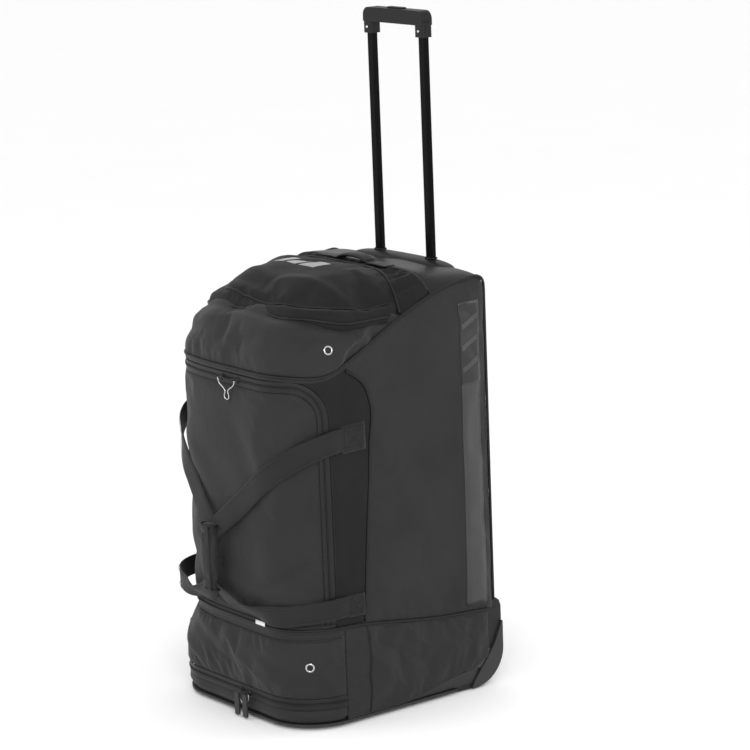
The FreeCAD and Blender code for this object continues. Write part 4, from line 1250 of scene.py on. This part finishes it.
def shoe_compartment():
    """Flap at the front of the base, the fabric skirt below it and the zip between them."""
    end = s_at(FLAP_SIDE_Y)
    flap_points = [(-end, FLAP_LOW + 0.0085), (end, FLAP_LOW + 0.0085), (end, FLAP_TOP), (-end, FLAP_TOP)]
    eyelet_s = FLAT + CORNER * math.radians(51)

    def shape(u, v):
        return creases(u, v, FLAP_FOLDS) + ripple(u, v, 0.055, 0.0040, 11.0)

    flap = panel("flap_cover", flap_points, on_bag, spacing=0.007, bulge=0.007, falloff=0.025,
                 shape=shape, soft=dict(pressure=0.4, extra=0.03, cap=0.006))
    place_piece(flap, FABRIC, "shoe_flap", "body_fabric", "shoe_flap_panel")
    tree = tree_of(flap)
    for sign, side in SIDES:
        base = on_bag(np.array([sign * eyelet_s]), np.array([0.130]), 0.0)[0]
        eyelet("eyelet_low_" + side, tree, base, bag_normal(np.array([sign * eyelet_s]))[0], "shoe_flap",
               ["eyelets_lower"] if sign > 0 else [])
    rows = [bag_line([(-end + 0.004, z), (end - 0.004, z)], 0.0)
            for z in (FLAP_LOW + 0.0125, FLAP_TOP - 0.005)]
    place_piece(stitched("flap_stitches", tree, rows), THREAD, "shoe_flap", "body_fabric")

    lines = [[(-end, FLAP_LOW + dz), (end, FLAP_LOW + dz)] for dz in (0.0045, -0.0075, -0.0003, -0.0022)]
    zip_pair("shoe_zip", "shoe_flap", ["shoe_flap_zip_tape"], "bag", [], *lines)

    def skirt_place(u, v, out):
        tuck = np.clip((0.030 - v) / 0.018, 0, 1.2) ** 2 * 0.009
        return on_bag(u, v, out - tuck)

    skirt_top = 0.0415
    skirt_points = [(-end, BASE_LOW), (end, BASE_LOW), (end, skirt_top), (-end, skirt_top)]
    skirt = panel("front_skirt_cover", skirt_points, skirt_place, spacing=0.006, bulge=0.003, falloff=0.012,
                  shape=lambda u, v: ripple(u, v, 0.05, 0.003, 12.0))
    place_piece(skirt, FABRIC, "bag", "body_fabric", "front_skirt")


def back():
    """Flat back: upper panel stiffened by its board, lower panel between the wheels."""
    upper = [(PIPED_S, 0.157), (LEFT_PIPED_S, 0.157), (LEFT_PIPED_S, ROUND_END_Z), (PIPED_S, ROUND_END_Z)]

    def shape(u, v):
        across = np.abs(u - HALF_LOOP)
        channel = -0.0022 * np.exp(-((across - 0.125) / 0.004) ** 2) * np.clip((v - 0.16) / 0.03, 0, 1)
        return channel + ripple(u, v, 0.15, 0.0025, 14.0)

    cover = panel("back_cover", upper, on_bag, spacing=0.0125, bulge=0.0025, falloff=0.03,
                  shape=shape, outward=(0, 1, 0), soft=dict(pressure=0.15, extra=0.004, cap=0.003))
    place_piece(cover, TARPAULIN, "bag", "coated_fabric", "back_panel")
    tree = tree_of(cover)
    rows = [bag_line([(HALF_LOOP + d, 0.170), (HALF_LOOP + d, 0.780)], 0.0)
            for d in (-0.1225, -0.1275, 0.1225, 0.1275)]
    rows.append(bag_line([(PIPED_S + 0.006, 0.165), (LEFT_PIPED_S - 0.006, 0.165)], 0.0))
    place_piece(stitched("back_stitches", tree, rows), THREAD, "bag", "coated_fabric")
    s0, s1 = HALF_LOOP - 0.171, HALF_LOOP + 0.171
    low = panel("back_low_cover", [(s0, 0.014), (s1, 0.014), (s1, 0.156), (s0, 0.156)], on_bag, bulge=0.003,
                shape=lambda u, v: ripple(u, v, 0.07, 0.003, 15.0), outward=(0, 1, 0))
    place_piece(low, FABRIC, "bag", "body_fabric")


def piping():
    """Round beads over the seams: slanted top and back edges, waist and the two side seams."""
    right = [(s, float(slope_z(plan(s)[1]))) for s in np.linspace(0, s_at(ROUND_Y), 110)]
    right += rear_corner(0.1, 12)
    right += [(PIPED_S, z) for z in np.linspace(0.770, 0.172, 60)]
    flat = np.array([(-s, z) for s, z in right[:0:-1]] + right)
    path, ups = on_bag(flat[:, 0], flat[:, 1], 0.0018), bag_normal(flat[:, 0])
    bead = sweep("piping_top", path, ups, round_section(0.0028))
    place_piece(bead, PIPING, "bag", "piping", "body_piping")
    y_back = BACK - BACK_CORNER
    s = np.linspace(-s_at(y_back), s_at(y_back), 220)
    z = waist_z(plan(s)[1])
    waist = sweep("piping_waist", on_bag(s, z, 0.0018), bag_normal(s), round_section(0.0026))
    place_piece(waist, PIPING, "bag", "piping")
    welt = sweep("welt_waist", on_bag(s, z - 0.0052, 0.0012), bag_normal(s), strip_section(0.0062, 0.0009))
    place_piece(welt, TAPE, "bag", "piping")
    s = np.linspace(-WALL_END, WALL_END, 200)
    z = slope_z(plan(s)[1])
    welt = sweep("welt_top", on_bag(s, z - 0.0055, 0.0016), bag_normal(s), strip_section(0.0062, 0.0009))
    place_piece(welt, TAPE, "bag", "piping")
    back_s = np.linspace(PIPED_S, LEFT_PIPED_S, 90)
    low = sweep("piping_back", on_bag(back_s, np.full_like(back_s, 0.1565), 0.0018), bag_normal(back_s),
                round_section(0.0024))
    place_piece(low, PIPING, "bag", "piping")
    for sign, side in SIDES:
        z = np.linspace(0.199, 0.6885, 80)
        s = np.array([sign * s_at(float(seam_y(v))) for v in z])
        seam = sweep("piping_seam_" + side, on_bag(s, z, 0.0012), bag_normal(s), round_section(0.0021))
        place_piece(seam, PIPING, "bag", "piping")


# ---- straps and handles --------------------------------------------------------------------------
# (s, z, height above the bag) along the right strap's two runs
STRAP_UPPER = [(0.004, 0.372, 0.0300), (0.035, 0.398, 0.0230), (0.075, 0.432, 0.0160),
               (0.120, 0.472, 0.0125), (0.165, 0.509, 0.0110), (0.215, 0.541, 0.0100),
               (0.262, 0.557, 0.0085), (0.296, 0.560, 0.0060), (0.345, 0.560, 0.0052)]
STRAP_LOWER = [(0.002, 0.262, 0.0310), (0.030, 0.244, 0.0270), (0.068, 0.2305, 0.0210),
               (0.110, 0.2255, 0.0150), (0.160, 0.2265, 0.0120), (0.214, 0.233, 0.0105),
               (0.262, 0.237, 0.0085), (0.294, 0.237, 0.0060), (0.330, 0.236, 0.0052)]


def strap(name, points, sign, width, node, extra=0.0):
    """Webbing laid round the front of the bag from the grip to its patch."""
    line = catmull(points, 10)
    s = sign * line[:, 0] - 0.008 * np.clip(1 - line[:, 0] / 0.10, 0, 1)
    out = line[:, 2] + extra * np.exp(-((line[:, 0] - 0.205) / 0.06) ** 2)
    path = on_bag(s, line[:, 1], out)
    ups = bag_normal(s)
    turned = np.clip(1 - line[:, 0] / 0.06, 0, 1) * (0.35 if "upper" in name else -0.8)
    if "lower" in name:
        turned = turned - 1.0 * np.exp(-((line[:, 0] - 0.088) / 0.040) ** 2)
    twist = turned[:, None] * np.array([0.0, 0.0, 1.0])
    obj = sweep(name, path, ups + twist, strip_section(width, WEBBING_THICK))
    paint(obj, WEBBING)
    if node:
        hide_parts(node)
    rows = []
    tangent = np.gradient(path, axis=0)
    tangent /= np.linalg.norm(tangent, axis=1, keepdims=True)
    ups_full = ups + twist
    across = np.cross(tangent, ups_full)
    across /= np.linalg.norm(across, axis=1, keepdims=True)
    normal = np.cross(across, tangent)
    for edge in (-1, 1):
        rows.append((path + across * edge * (width / 2 - 0.004) + normal * 0.0025, normal))
    threads = dashes(name + "_stitches", rows, length=0.0036, gap=0.0018)
    paint(threads, THREAD)
    for piece in (obj, threads):
        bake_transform(piece)


def straps():
    strap("strap_right_upper", STRAP_UPPER, 1, STRAP_WIDTH, "carry_strap_right")
    strap("strap_right_lower", STRAP_LOWER, 1, LOWER_STRAP_WIDTH, None)
    strap("strap_left_upper", STRAP_UPPER, -1, STRAP_WIDTH, "carry_strap_left", 0.008)
    strap("strap_left_lower", STRAP_LOWER, -1, LOWER_STRAP_WIDTH, None, 0.026)

    # the left strap goes on, folded narrow, through the padded sleeve
    held_z = np.linspace(STRAP_LOWER[0][1], STRAP_UPPER[0][1], 30)
    held_s = np.full_like(held_z, -0.012)
    fold = sweep("strap_left_fold", on_bag(held_s, held_z, 0.0300), bag_normal(held_s),
                 strip_section(0.028, WEBBING_THICK))
    place_piece(fold, WEBBING, "carry_strap_left", "webbing")

    # box-stitched patches under the ends
    def patch_place(u, v, out):
        return on_bag(u, v, out + 0.0040)

    patches, rows = [], []
    for sign in (1, -1):
        for corners in ([(-0.112, 0.532), (-0.054, 0.534), (-0.056, 0.588), (-0.112, 0.586)],
                        [(-0.112, 0.214), (-0.071, 0.213), (-0.071, 0.256), (-0.112, 0.258)]):
            outline = [(sign * s_at(y), z) for y, z in corners]
            patches.append(panel("patch", outline, patch_place, spacing=0.006, thick=0.0016, bulge=0.0006,
                                 falloff=0.004, outward=(sign, 0, 0), levels=0))
            s = [abs(p[0]) for p in outline]
            z = [p[1] for p in outline]
            s0, s1, z0, z1 = min(s) + 0.008, max(s) - 0.003, min(z) + 0.004, max(z) - 0.004
            box = [(s0, z0), (s1, z0), (s1, z1), (s0, z1), (s0, z0), (s1, z1)]
            cross = [(s0, z1), (s1, z0)]
            for line in (box, cross):
                path, ups = bag_line([(sign * a, b) for a, b in line], 0.0080, 0.0016)
                rows.append((path, ups))
    patch = merge("strap_patch_set", patches)
    place_piece(patch, WEBBING, "bag", "webbing", "strap_patches")
    place_piece(dashes("patch_stitches", rows, length=0.0030), THREAD, "bag", "webbing")
    grip_wrap()


def grip_wrap():
    """Padded sleeve that closes round both straps."""
    low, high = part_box("handle_wrap")
    cx, cy = (low[0] + high[0]) / 2, (low[1] + high[1]) / 2
    rings, around = 26, 32
    verts = []
    for i in range(rings):
        t = i / (rings - 1)
        z = low[2] + (high[2] - low[2]) * t
        swell = 0.86 + 0.14 * math.sin(math.pi * t) ** 0.5
        if i in (0, rings - 1):
            swell *= 0.9
        for k in range(around):
            angle = 2 * math.pi * k / around
            c, s = math.cos(angle), math.sin(angle)
            x = cx + 0.0225 * swell * squared(c, 0.7)
            y = cy - 0.002 + 0.0135 * swell * squared(s, 0.7)
            verts.append((x, y, z))
    faces = [(i * around + k, i * around + (k + 1) % around, (i + 1) * around + (k + 1) % around,
              (i + 1) * around + k)
             for i in range(rings - 1) for k in range(around)]
    faces += [tuple(range(around))[::-1], tuple((rings - 1) * around + k for k in range(around))]
    wrap = new_object("grip_wrap", verts, faces)
    normals_out(wrap)
    held = [1.0 if v.co.z < low[2] + 0.006 or v.co.z > high[2] - 0.006 else 0.0 for v in wrap.data.vertices]
    drape(wrap, held, pressure=1.2, extra=0.04, cap=0.003)
    modify(wrap, "SUBSURF", levels=1, render_levels=1)
    place_piece(wrap, FABRIC, "carry_strap_right", "body_fabric", "handle_wrap")
    # overlapping closure edge down the front, and its binding at both ends
    z = np.linspace(low[2] + 0.003, high[2] - 0.003, 40)
    edge = np.stack([np.full_like(z, cx + 0.012), np.full_like(z, cy - 0.0162), z], -1)
    flap = sweep("wrap_edge", edge, [(0.15, -1, 0)] * 40, strip_section(0.006, 0.0012))
    place_piece(flap, WEBBING, "carry_strap_right", "webbing")
    for name, z0 in (("low", low[2] + 0.003), ("high", high[2] - 0.003)):
        angles = circle(40)
        path = [(cx + 0.0205 * squared(math.cos(t), 0.7),
                 cy - 0.002 + 0.0125 * squared(math.sin(t), 0.7), z0) for t in angles]
        ups = [(math.cos(t), math.sin(t), 0) for t in angles]
        bead = sweep("wrap_binding_" + name, path, ups, round_section(0.0022, 8), closed=True)
        place_piece(bead, PIPING, "carry_strap_right", "piping")


def haul_handle():
    """Short webbing arch with a rolled middle behind the lid."""
    low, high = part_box("haul_handle")
    y = (low[1] + high[1]) / 2
    x = np.linspace(-0.108, 0.108, 81)
    yy = np.full_like(x, y)
    ground = top_z(x, yy) + 0.0030
    arch = high[2] + 0.003 - 0.0200 * (np.abs(x) / 0.070) ** 2.2
    z = np.maximum(ground, arch) + 0.0008 * np.exp(-((np.abs(x) - 0.07) / 0.01) ** 2)
    path = np.stack([x, yy, z], -1)
    slope = np.gradient(z, x)
    ups = np.stack([-slope, np.zeros_like(x), np.ones_like(x)], -1)
    band = sweep("haul_band", path, ups, strip_section(0.0235, 0.0020))
    paint(band, WEBBING)
    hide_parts("haul_handle")
    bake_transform(band)
    middle = np.abs(x) < 0.046
    section = [(0.0135 * squared(math.cos(t), 0.8), 0.0048 * math.sin(t)) for t in circle(16)]
    roll = sweep("haul_roll", path[middle] + np.array([0, 0, -0.0005]), ups[middle], section)
    modify(roll, "SUBSURF", levels=1, render_levels=1)
    place_piece(roll, TARPAULIN, "haul_handle", "coated_fabric")


# ---- zip sliders, trolley and wheels -------------------------------------------------------------
def slider_shell(name, cx, spread, z, body, node):
    """Two zip sliders with crowned tops and a bridge, seen from the front."""
    parts = []
    for sign in (-1, 1):
        for width, height, lift, tall in ((0.0085, 0.0120, 0.0030, 0.0018), (0.0052, 0.0085, 0.0052, 0.0012)):
            angles = circle(24)
            x0 = cx + sign * spread / 2
            path = [(x0 + width / 2 * math.cos(t), FRONT - lift,
                     z + height / 2 * math.sin(t)) for t in angles]
            verts = [(x0, FRONT - lift - tall, z)] + path + [(p[0], FRONT - 0.0014, p[2]) for p in path]
            faces = [(0, 1 + k, 1 + (k + 1) % 24) for k in range(24)]
            faces += [(1 + k, 25 + k, 25 + (k + 1) % 24, 1 + (k + 1) % 24) for k in range(24)]
            faces.append(tuple(25 + k for k in range(24))[::-1])
            part = new_object("shell", verts, faces)
            normals_out(part)
            parts.append(part)
    profile = ((-1 / 2, 0.0060, 0.004), (-1 / 4, 0.0078, 0.0), (0.0, 0.0082, 0.0), (1 / 4, 0.0078, 0.0),
               (1 / 2, 0.0060, 0.004))
    bridge = catmull([(cx + share * spread, FRONT - lift, z + up) for share, lift, up in profile], 6)
    parts.append(sweep("bridge", bridge, [(0, -1, 0)] * len(bridge), round_section(0.0015, 8)))
    place_piece(merge(name, parts), HOUSING, body, "pull_rubber", node)


def keyhole(name, cx, y, top, width, height, body, node):
    """Bent spring-wire puller."""
    w = width / 2
    half = [(w, 0), (w * 0.97, -0.12), (w * 0.80, -0.28), (w * 0.45, -0.42), (w * 0.22, -0.53),
            (w * 0.17, -0.66),
            (w * 0.27, -0.80), (w * 0.22, -0.94), (0, -1.0)]
    points = [(cx + x, y, top + t * height) for x, t in half]
    points += [(cx - x, y, top + t * height) for x, t in half[-2::-1]]
    path = catmull(points, 6)
    wire = sweep(name, path, [(0, -1, 0)] * len(path), round_section(0.0013, 10))
    place_piece(wire, CHROME, body, "chrome_metal", node)


def zip_hardware():
    slider_shell("main_sliders", 0.038, 0.050, DOOR_TOP + 0.0005, "main_zip_sliders", "main_zip_sliders")
    keyhole("main_wire", 0.038, FRONT - 0.011, DOOR_TOP + 0.001, 0.054, 0.039, "main_zip_wire",
            "main_zip_wire")
    slider_shell("shoe_sliders", 0.040, 0.026, FLAP_LOW - 0.0018, "shoe_zip_sliders", "shoe_zip_sliders")
    keyhole("shoe_wire", 0.044, FRONT - 0.0105, 0.050, 0.034, 0.042, "shoe_zip_pulls", "shoe_zip_wire")


def trolley_top():
    """Bezel that the tubes come out of: a low moulding with tapered ends."""
    low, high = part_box("handle_bezel")
    cy, tall = (low[1] + high[1]) / 2, high[2] - low[2] + 0.004
    us, vs = np.linspace(-1, 1, 61), np.linspace(0, 2 * math.pi, 41)

    def place(u, v):
        half = 0.150
        x = half * np.sin(u * math.pi / 2)
        end = np.clip(1 - (np.abs(x) / half) ** 3.2, 0, 1) ** 0.5
        y = cy + 0.0275 * (0.25 + 0.75 * end) * np.sign(np.cos(v)) * np.abs(np.cos(v)) ** 0.75
        rise = tall * (0.35 + 0.65 * end)
        z = low[2] - 0.006 + rise * np.maximum(np.sin(v), 0) ** 0.55 - 0.002 * (np.sin(v) < 0)
        return np.stack([x, y, z], -1)

    shell = grid_piece("bezel_shell", place, us, vs, (0, 0, 1), thick=0.0015, levels=1)
    normals_out(shell)
    place_piece(shell, GRIP, "bag", "grip_plastic", "handle_bezel")
    collars = []
    for sign in (-1, 1):
        path = [(sign * TUBE_X + 0.0118 * squared(math.cos(t), 0.6),
                 cy + 0.006 + 0.0082 * squared(math.sin(t), 0.6),
                 high[2] - 0.0015) for t in circle(40)]
        collars.append(sweep("collar", path, [(0, 0, 1)] * len(path), round_section(0.0016, 8), closed=True))
    place_piece(merge("tube_collars", collars), GRIP, "bag", "grip_plastic")

    low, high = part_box("grip_front")
    heads = []
    for sign in (-1, 1):
        centre = np.array((sign * TUBE_X, low[1] - 0.0004, low[2] + 0.012))
        verts = [centre + (0, -0.0011, 0)]
        for radius, depth in ((0.0026, -0.0005), (0.0030, 0.0004)):
            verts += [centre + (radius * math.cos(t), depth, radius * math.sin(t)) for t in circle(16)]
        faces = [(0, 1 + k, 1 + (k + 1) % 16) for k in range(16)]
        faces += [(1 + k, 17 + k, 17 + (k + 1) % 16, 1 + (k + 1) % 16) for k in range(16)]
        head = new_object("head", verts, faces)
        normals_out(head)
        heads.append(head)
    place_piece(merge("grip_rivets", heads), STEEL, "trolley", "steel")


# ---- inside --------------------------------------------------------------------------------------
def sheet(name, node, y_end, height, drop, thick):
    """Lining cloth that fills the bag's outline from the front back to y_end."""
    s = np.linspace(-s_at(y_end), s_at(y_end), 75)
    edge = on_bag(s, height(plan(s)[1]), -0.0045)[:, :2]

    def place(u, v, out):
        return np.stack([u, v, height(v) - drop - out], -1)

    cloth = panel(name, [tuple(p) for p in edge], place, spacing=0.012, bulge=0.003, falloff=0.05,
                  thick=thick,
                  shape=lambda u, v: ripple(u, v, 0.08, 0.0015, 21.0), outward=(0, 0, 1), levels=0)
    place_piece(cloth, LINING, "bag", "lining", node)


def backing(name, points, width=0.020, body="bag"):
    """Bound seam allowance behind a join, so no light comes through it."""
    path, ups = bag_line(points, -0.0052)
    place_piece(sweep(name, path, ups, strip_section(width, 0.0009)), LINING, body, "lining")


def seam_backings():
    y_back = BACK - BACK_CORNER
    loop = np.linspace(-s_at(y_back), s_at(y_back), 120)
    backing("backing_waist", [(s, float(waist_z(plan(s)[1])) - 0.002) for s in loop])
    top = np.linspace(-WALL_END, WALL_END, 120)
    backing("backing_top", [(s, float(slope_z(plan(s)[1])) - 0.009) for s in top])
    end = s_at(FLAP_SIDE_Y)
    backing("backing_flap", [(s, FLAP_TOP + 0.001) for s in np.linspace(-end - 0.004, end + 0.004, 60)])
    backing("binding_door", door_frame_points(-0.0100), 0.016, "front_door")
    backing("binding_frame", door_frame_points(0.0118), 0.016)
    backing("binding_flap", [(-end, FLAP_LOW + 0.0090), (end, FLAP_LOW + 0.0090)], 0.012, "shoe_flap")
    backing("binding_skirt", [(-end, 0.0410), (end, 0.0410)], 0.010)
    behind = np.linspace(s_at(0.150), 2 * HALF_LOOP - s_at(0.150), 90)
    backing("backing_base", [(s, 0.058) for s in behind], 0.034)
    for sign, side in SIDES:
        seam = [(sign * s_at(float(seam_y(z))), z) for z in np.linspace(0.204, 0.676, 50)]
        backing("backing_seam_" + side, seam)
        backing("backing_low_" + side, [(sign * (end + 0.002), z) for z in (0.020, 0.10, 0.188)])


CUP_X, CUP_Y, CUP_Z = 0.102, 0.030, 0.322   # centres of the two ball cups
BALL_RADIUS, CUP_REACH = 0.110, 0.0924      # radius of the bowls, and of their openings


def interior():
    """Pocket floor, divider, curtain in front of the tubes, and the foam cradle."""
    sheet("pocket_floor_cloth", "pocket_floor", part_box("pocket_floor")[1][1] - 0.001, slope_z, 0.0008, 0.002)
    rear, floor_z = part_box("divider_floor")[1][1:]
    sheet("divider_cloth", "divider_floor", rear, lambda y: np.full_like(y, floor_z), 0.0, 0.0008)
    low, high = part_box("trolley_lining")

    def curtain(u, v):
        edge = np.clip(np.minimum.reduce([high[0] - np.abs(u), v - low[2], high[2] - v]) / 0.04, 0, 1)
        waves = 0.001 * np.sin(u * 90) + ripple(u, v, 0.09, 0.004, 22.0)
        return np.stack([u, np.full_like(u, low[1]) + waves * edge, v], -1)

    cloth = grid_piece("trolley_curtain", curtain, np.linspace(-high[0], high[0], 41),
                       np.linspace(low[2], high[2], 41), (0, -1, 0), thick=0.0015, levels=0)
    place_piece(cloth, LINING, "bag", "lining", "trolley_lining")

    # foam cradle with a cup for each ball
    foam_low, foam_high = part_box("ball_cradle")

    def foam(u, v):
        width, depth = foam_high[0], foam_high[1] - foam_low[1]
        x, y = u * width, (foam_low[1] + foam_high[1]) / 2 + v * depth / 2
        edge = np.minimum((1 - np.abs(u)) * width, (1 - np.abs(v)) * depth / 2)
        z = foam_high[2] - 0.018 * np.clip(1 - edge / 0.020, 0, 1) ** 2 - 0.001
        for cup_x in (-CUP_X, CUP_X):
            r2 = (x - cup_x) ** 2 + (y - CUP_Y) ** 2
            bowl = CUP_Z - np.sqrt(np.maximum(BALL_RADIUS ** 2 - r2, 0))
            z = np.where(r2 < CUP_REACH ** 2, np.minimum(z, bowl + 0.0005), z)
        return np.stack([x, y, np.where(edge < 1e-6, foam_low[2] + 0.001, z)], -1)

    spread = np.concatenate([[-1.0], np.linspace(-0.999, 0.999, 91), [1.0]])
    cradle = grid_piece("cradle_foam", foam, spread, spread, (0, 0, 1), thick=0.004, levels=0)
    place_piece(cradle, FOAM, "bag", "foam", "ball_cradle")


# ---- carried-over nodes --------------------------------------------------------------------------
EDGE_ANGLE = math.radians(35)               # edges sharper than this get a small bevel


def sunken_hardware():
    """The side slider and its tab, moved in with the left front corner that they lie on."""
    low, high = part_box("side_zip_slider")
    s, z = -s_at((low[1] + high[1]) / 2), (low[2] + high[2]) / 2
    shift = -bag_normal(np.array([s]))[0] * float(slouch(s, z))
    for node, material in (("side_zip_slider", HOUSING), ("side_pull_tab", RUBBER)):
        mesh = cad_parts[node].data
        verts = [tuple(np.array(v.co) + shift) for v in mesh.vertices]
        copy = new_object(node + "_piece", verts, [tuple(p.vertices) for p in mesh.polygons])
        modify(copy, "BEVEL", width=0.0008, segments=2, limit_method="ANGLE", angle_limit=EDGE_ANGLE)
        modify(copy, "WEIGHTED_NORMAL", keep_sharp=True)
        place_piece(copy, material, node, "pull_rubber", node)


def dress_nodes():
    """Materials and small round edges of the CAD nodes that are shown as they are."""
    looks = {
        BOARD: ("back_board", "base_tray"), STEEL: ("handle_springs", "lock_pin_left", "lock_pin_right",
                                                    "push_rods", "wheel_axles"),
        HOUSING: ("base_skids", "tube_foot", "tube_plugs", "wheel_housing_left", "wheel_housing_right"),
        GRIP: ("grip_front", "grip_rear", "release_button"), TUBE: ("inner_tubes", "outer_tubes"),
        RUBBER: ("shoe_pull_tabs",), TYRE: ("tyre_left", "tyre_right"), GUARD_PLASTIC: ("wheel_guards",),
        HUB: ("wheel_hub_left", "wheel_hub_right")}
    round_edges = {
        0.0012: ("grip_front", "grip_rear", "wheel_guards", "wheel_housing_left", "wheel_housing_right",
                 "base_skids"),
        0.0010: ("release_button", "base_tray", "tube_foot"),
        0.0008: ("shoe_pull_tabs", "wheel_hub_left", "wheel_hub_right")}
    widths = {node: width for width, nodes in round_edges.items() for node in nodes}
    for material, nodes in looks.items():
        for node in nodes:
            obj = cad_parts[node]
            paint(obj, material)
            for polygon in obj.data.polygons:
                polygon.use_smooth = True
            if node in widths:
                modify(obj, "BEVEL", width=widths[node], segments=2, limit_method="ANGLE",
                       angle_limit=EDGE_ANGLE)
            modify(obj, "WEIGHTED_NORMAL", keep_sharp=True, weight=50)


camera_and_light()
front()
sides()
lower_sides()
shoe_compartment()
back()
crown()
top_pocket()
lid()
piping()
straps()
haul_handle()
zip_hardware()
trolley_top()
interior()
seam_backings()
sunken_hardware()
dress_nodes()
bpy.data.scenes.remove(BENCH)

bpy.context.view_layer.update()
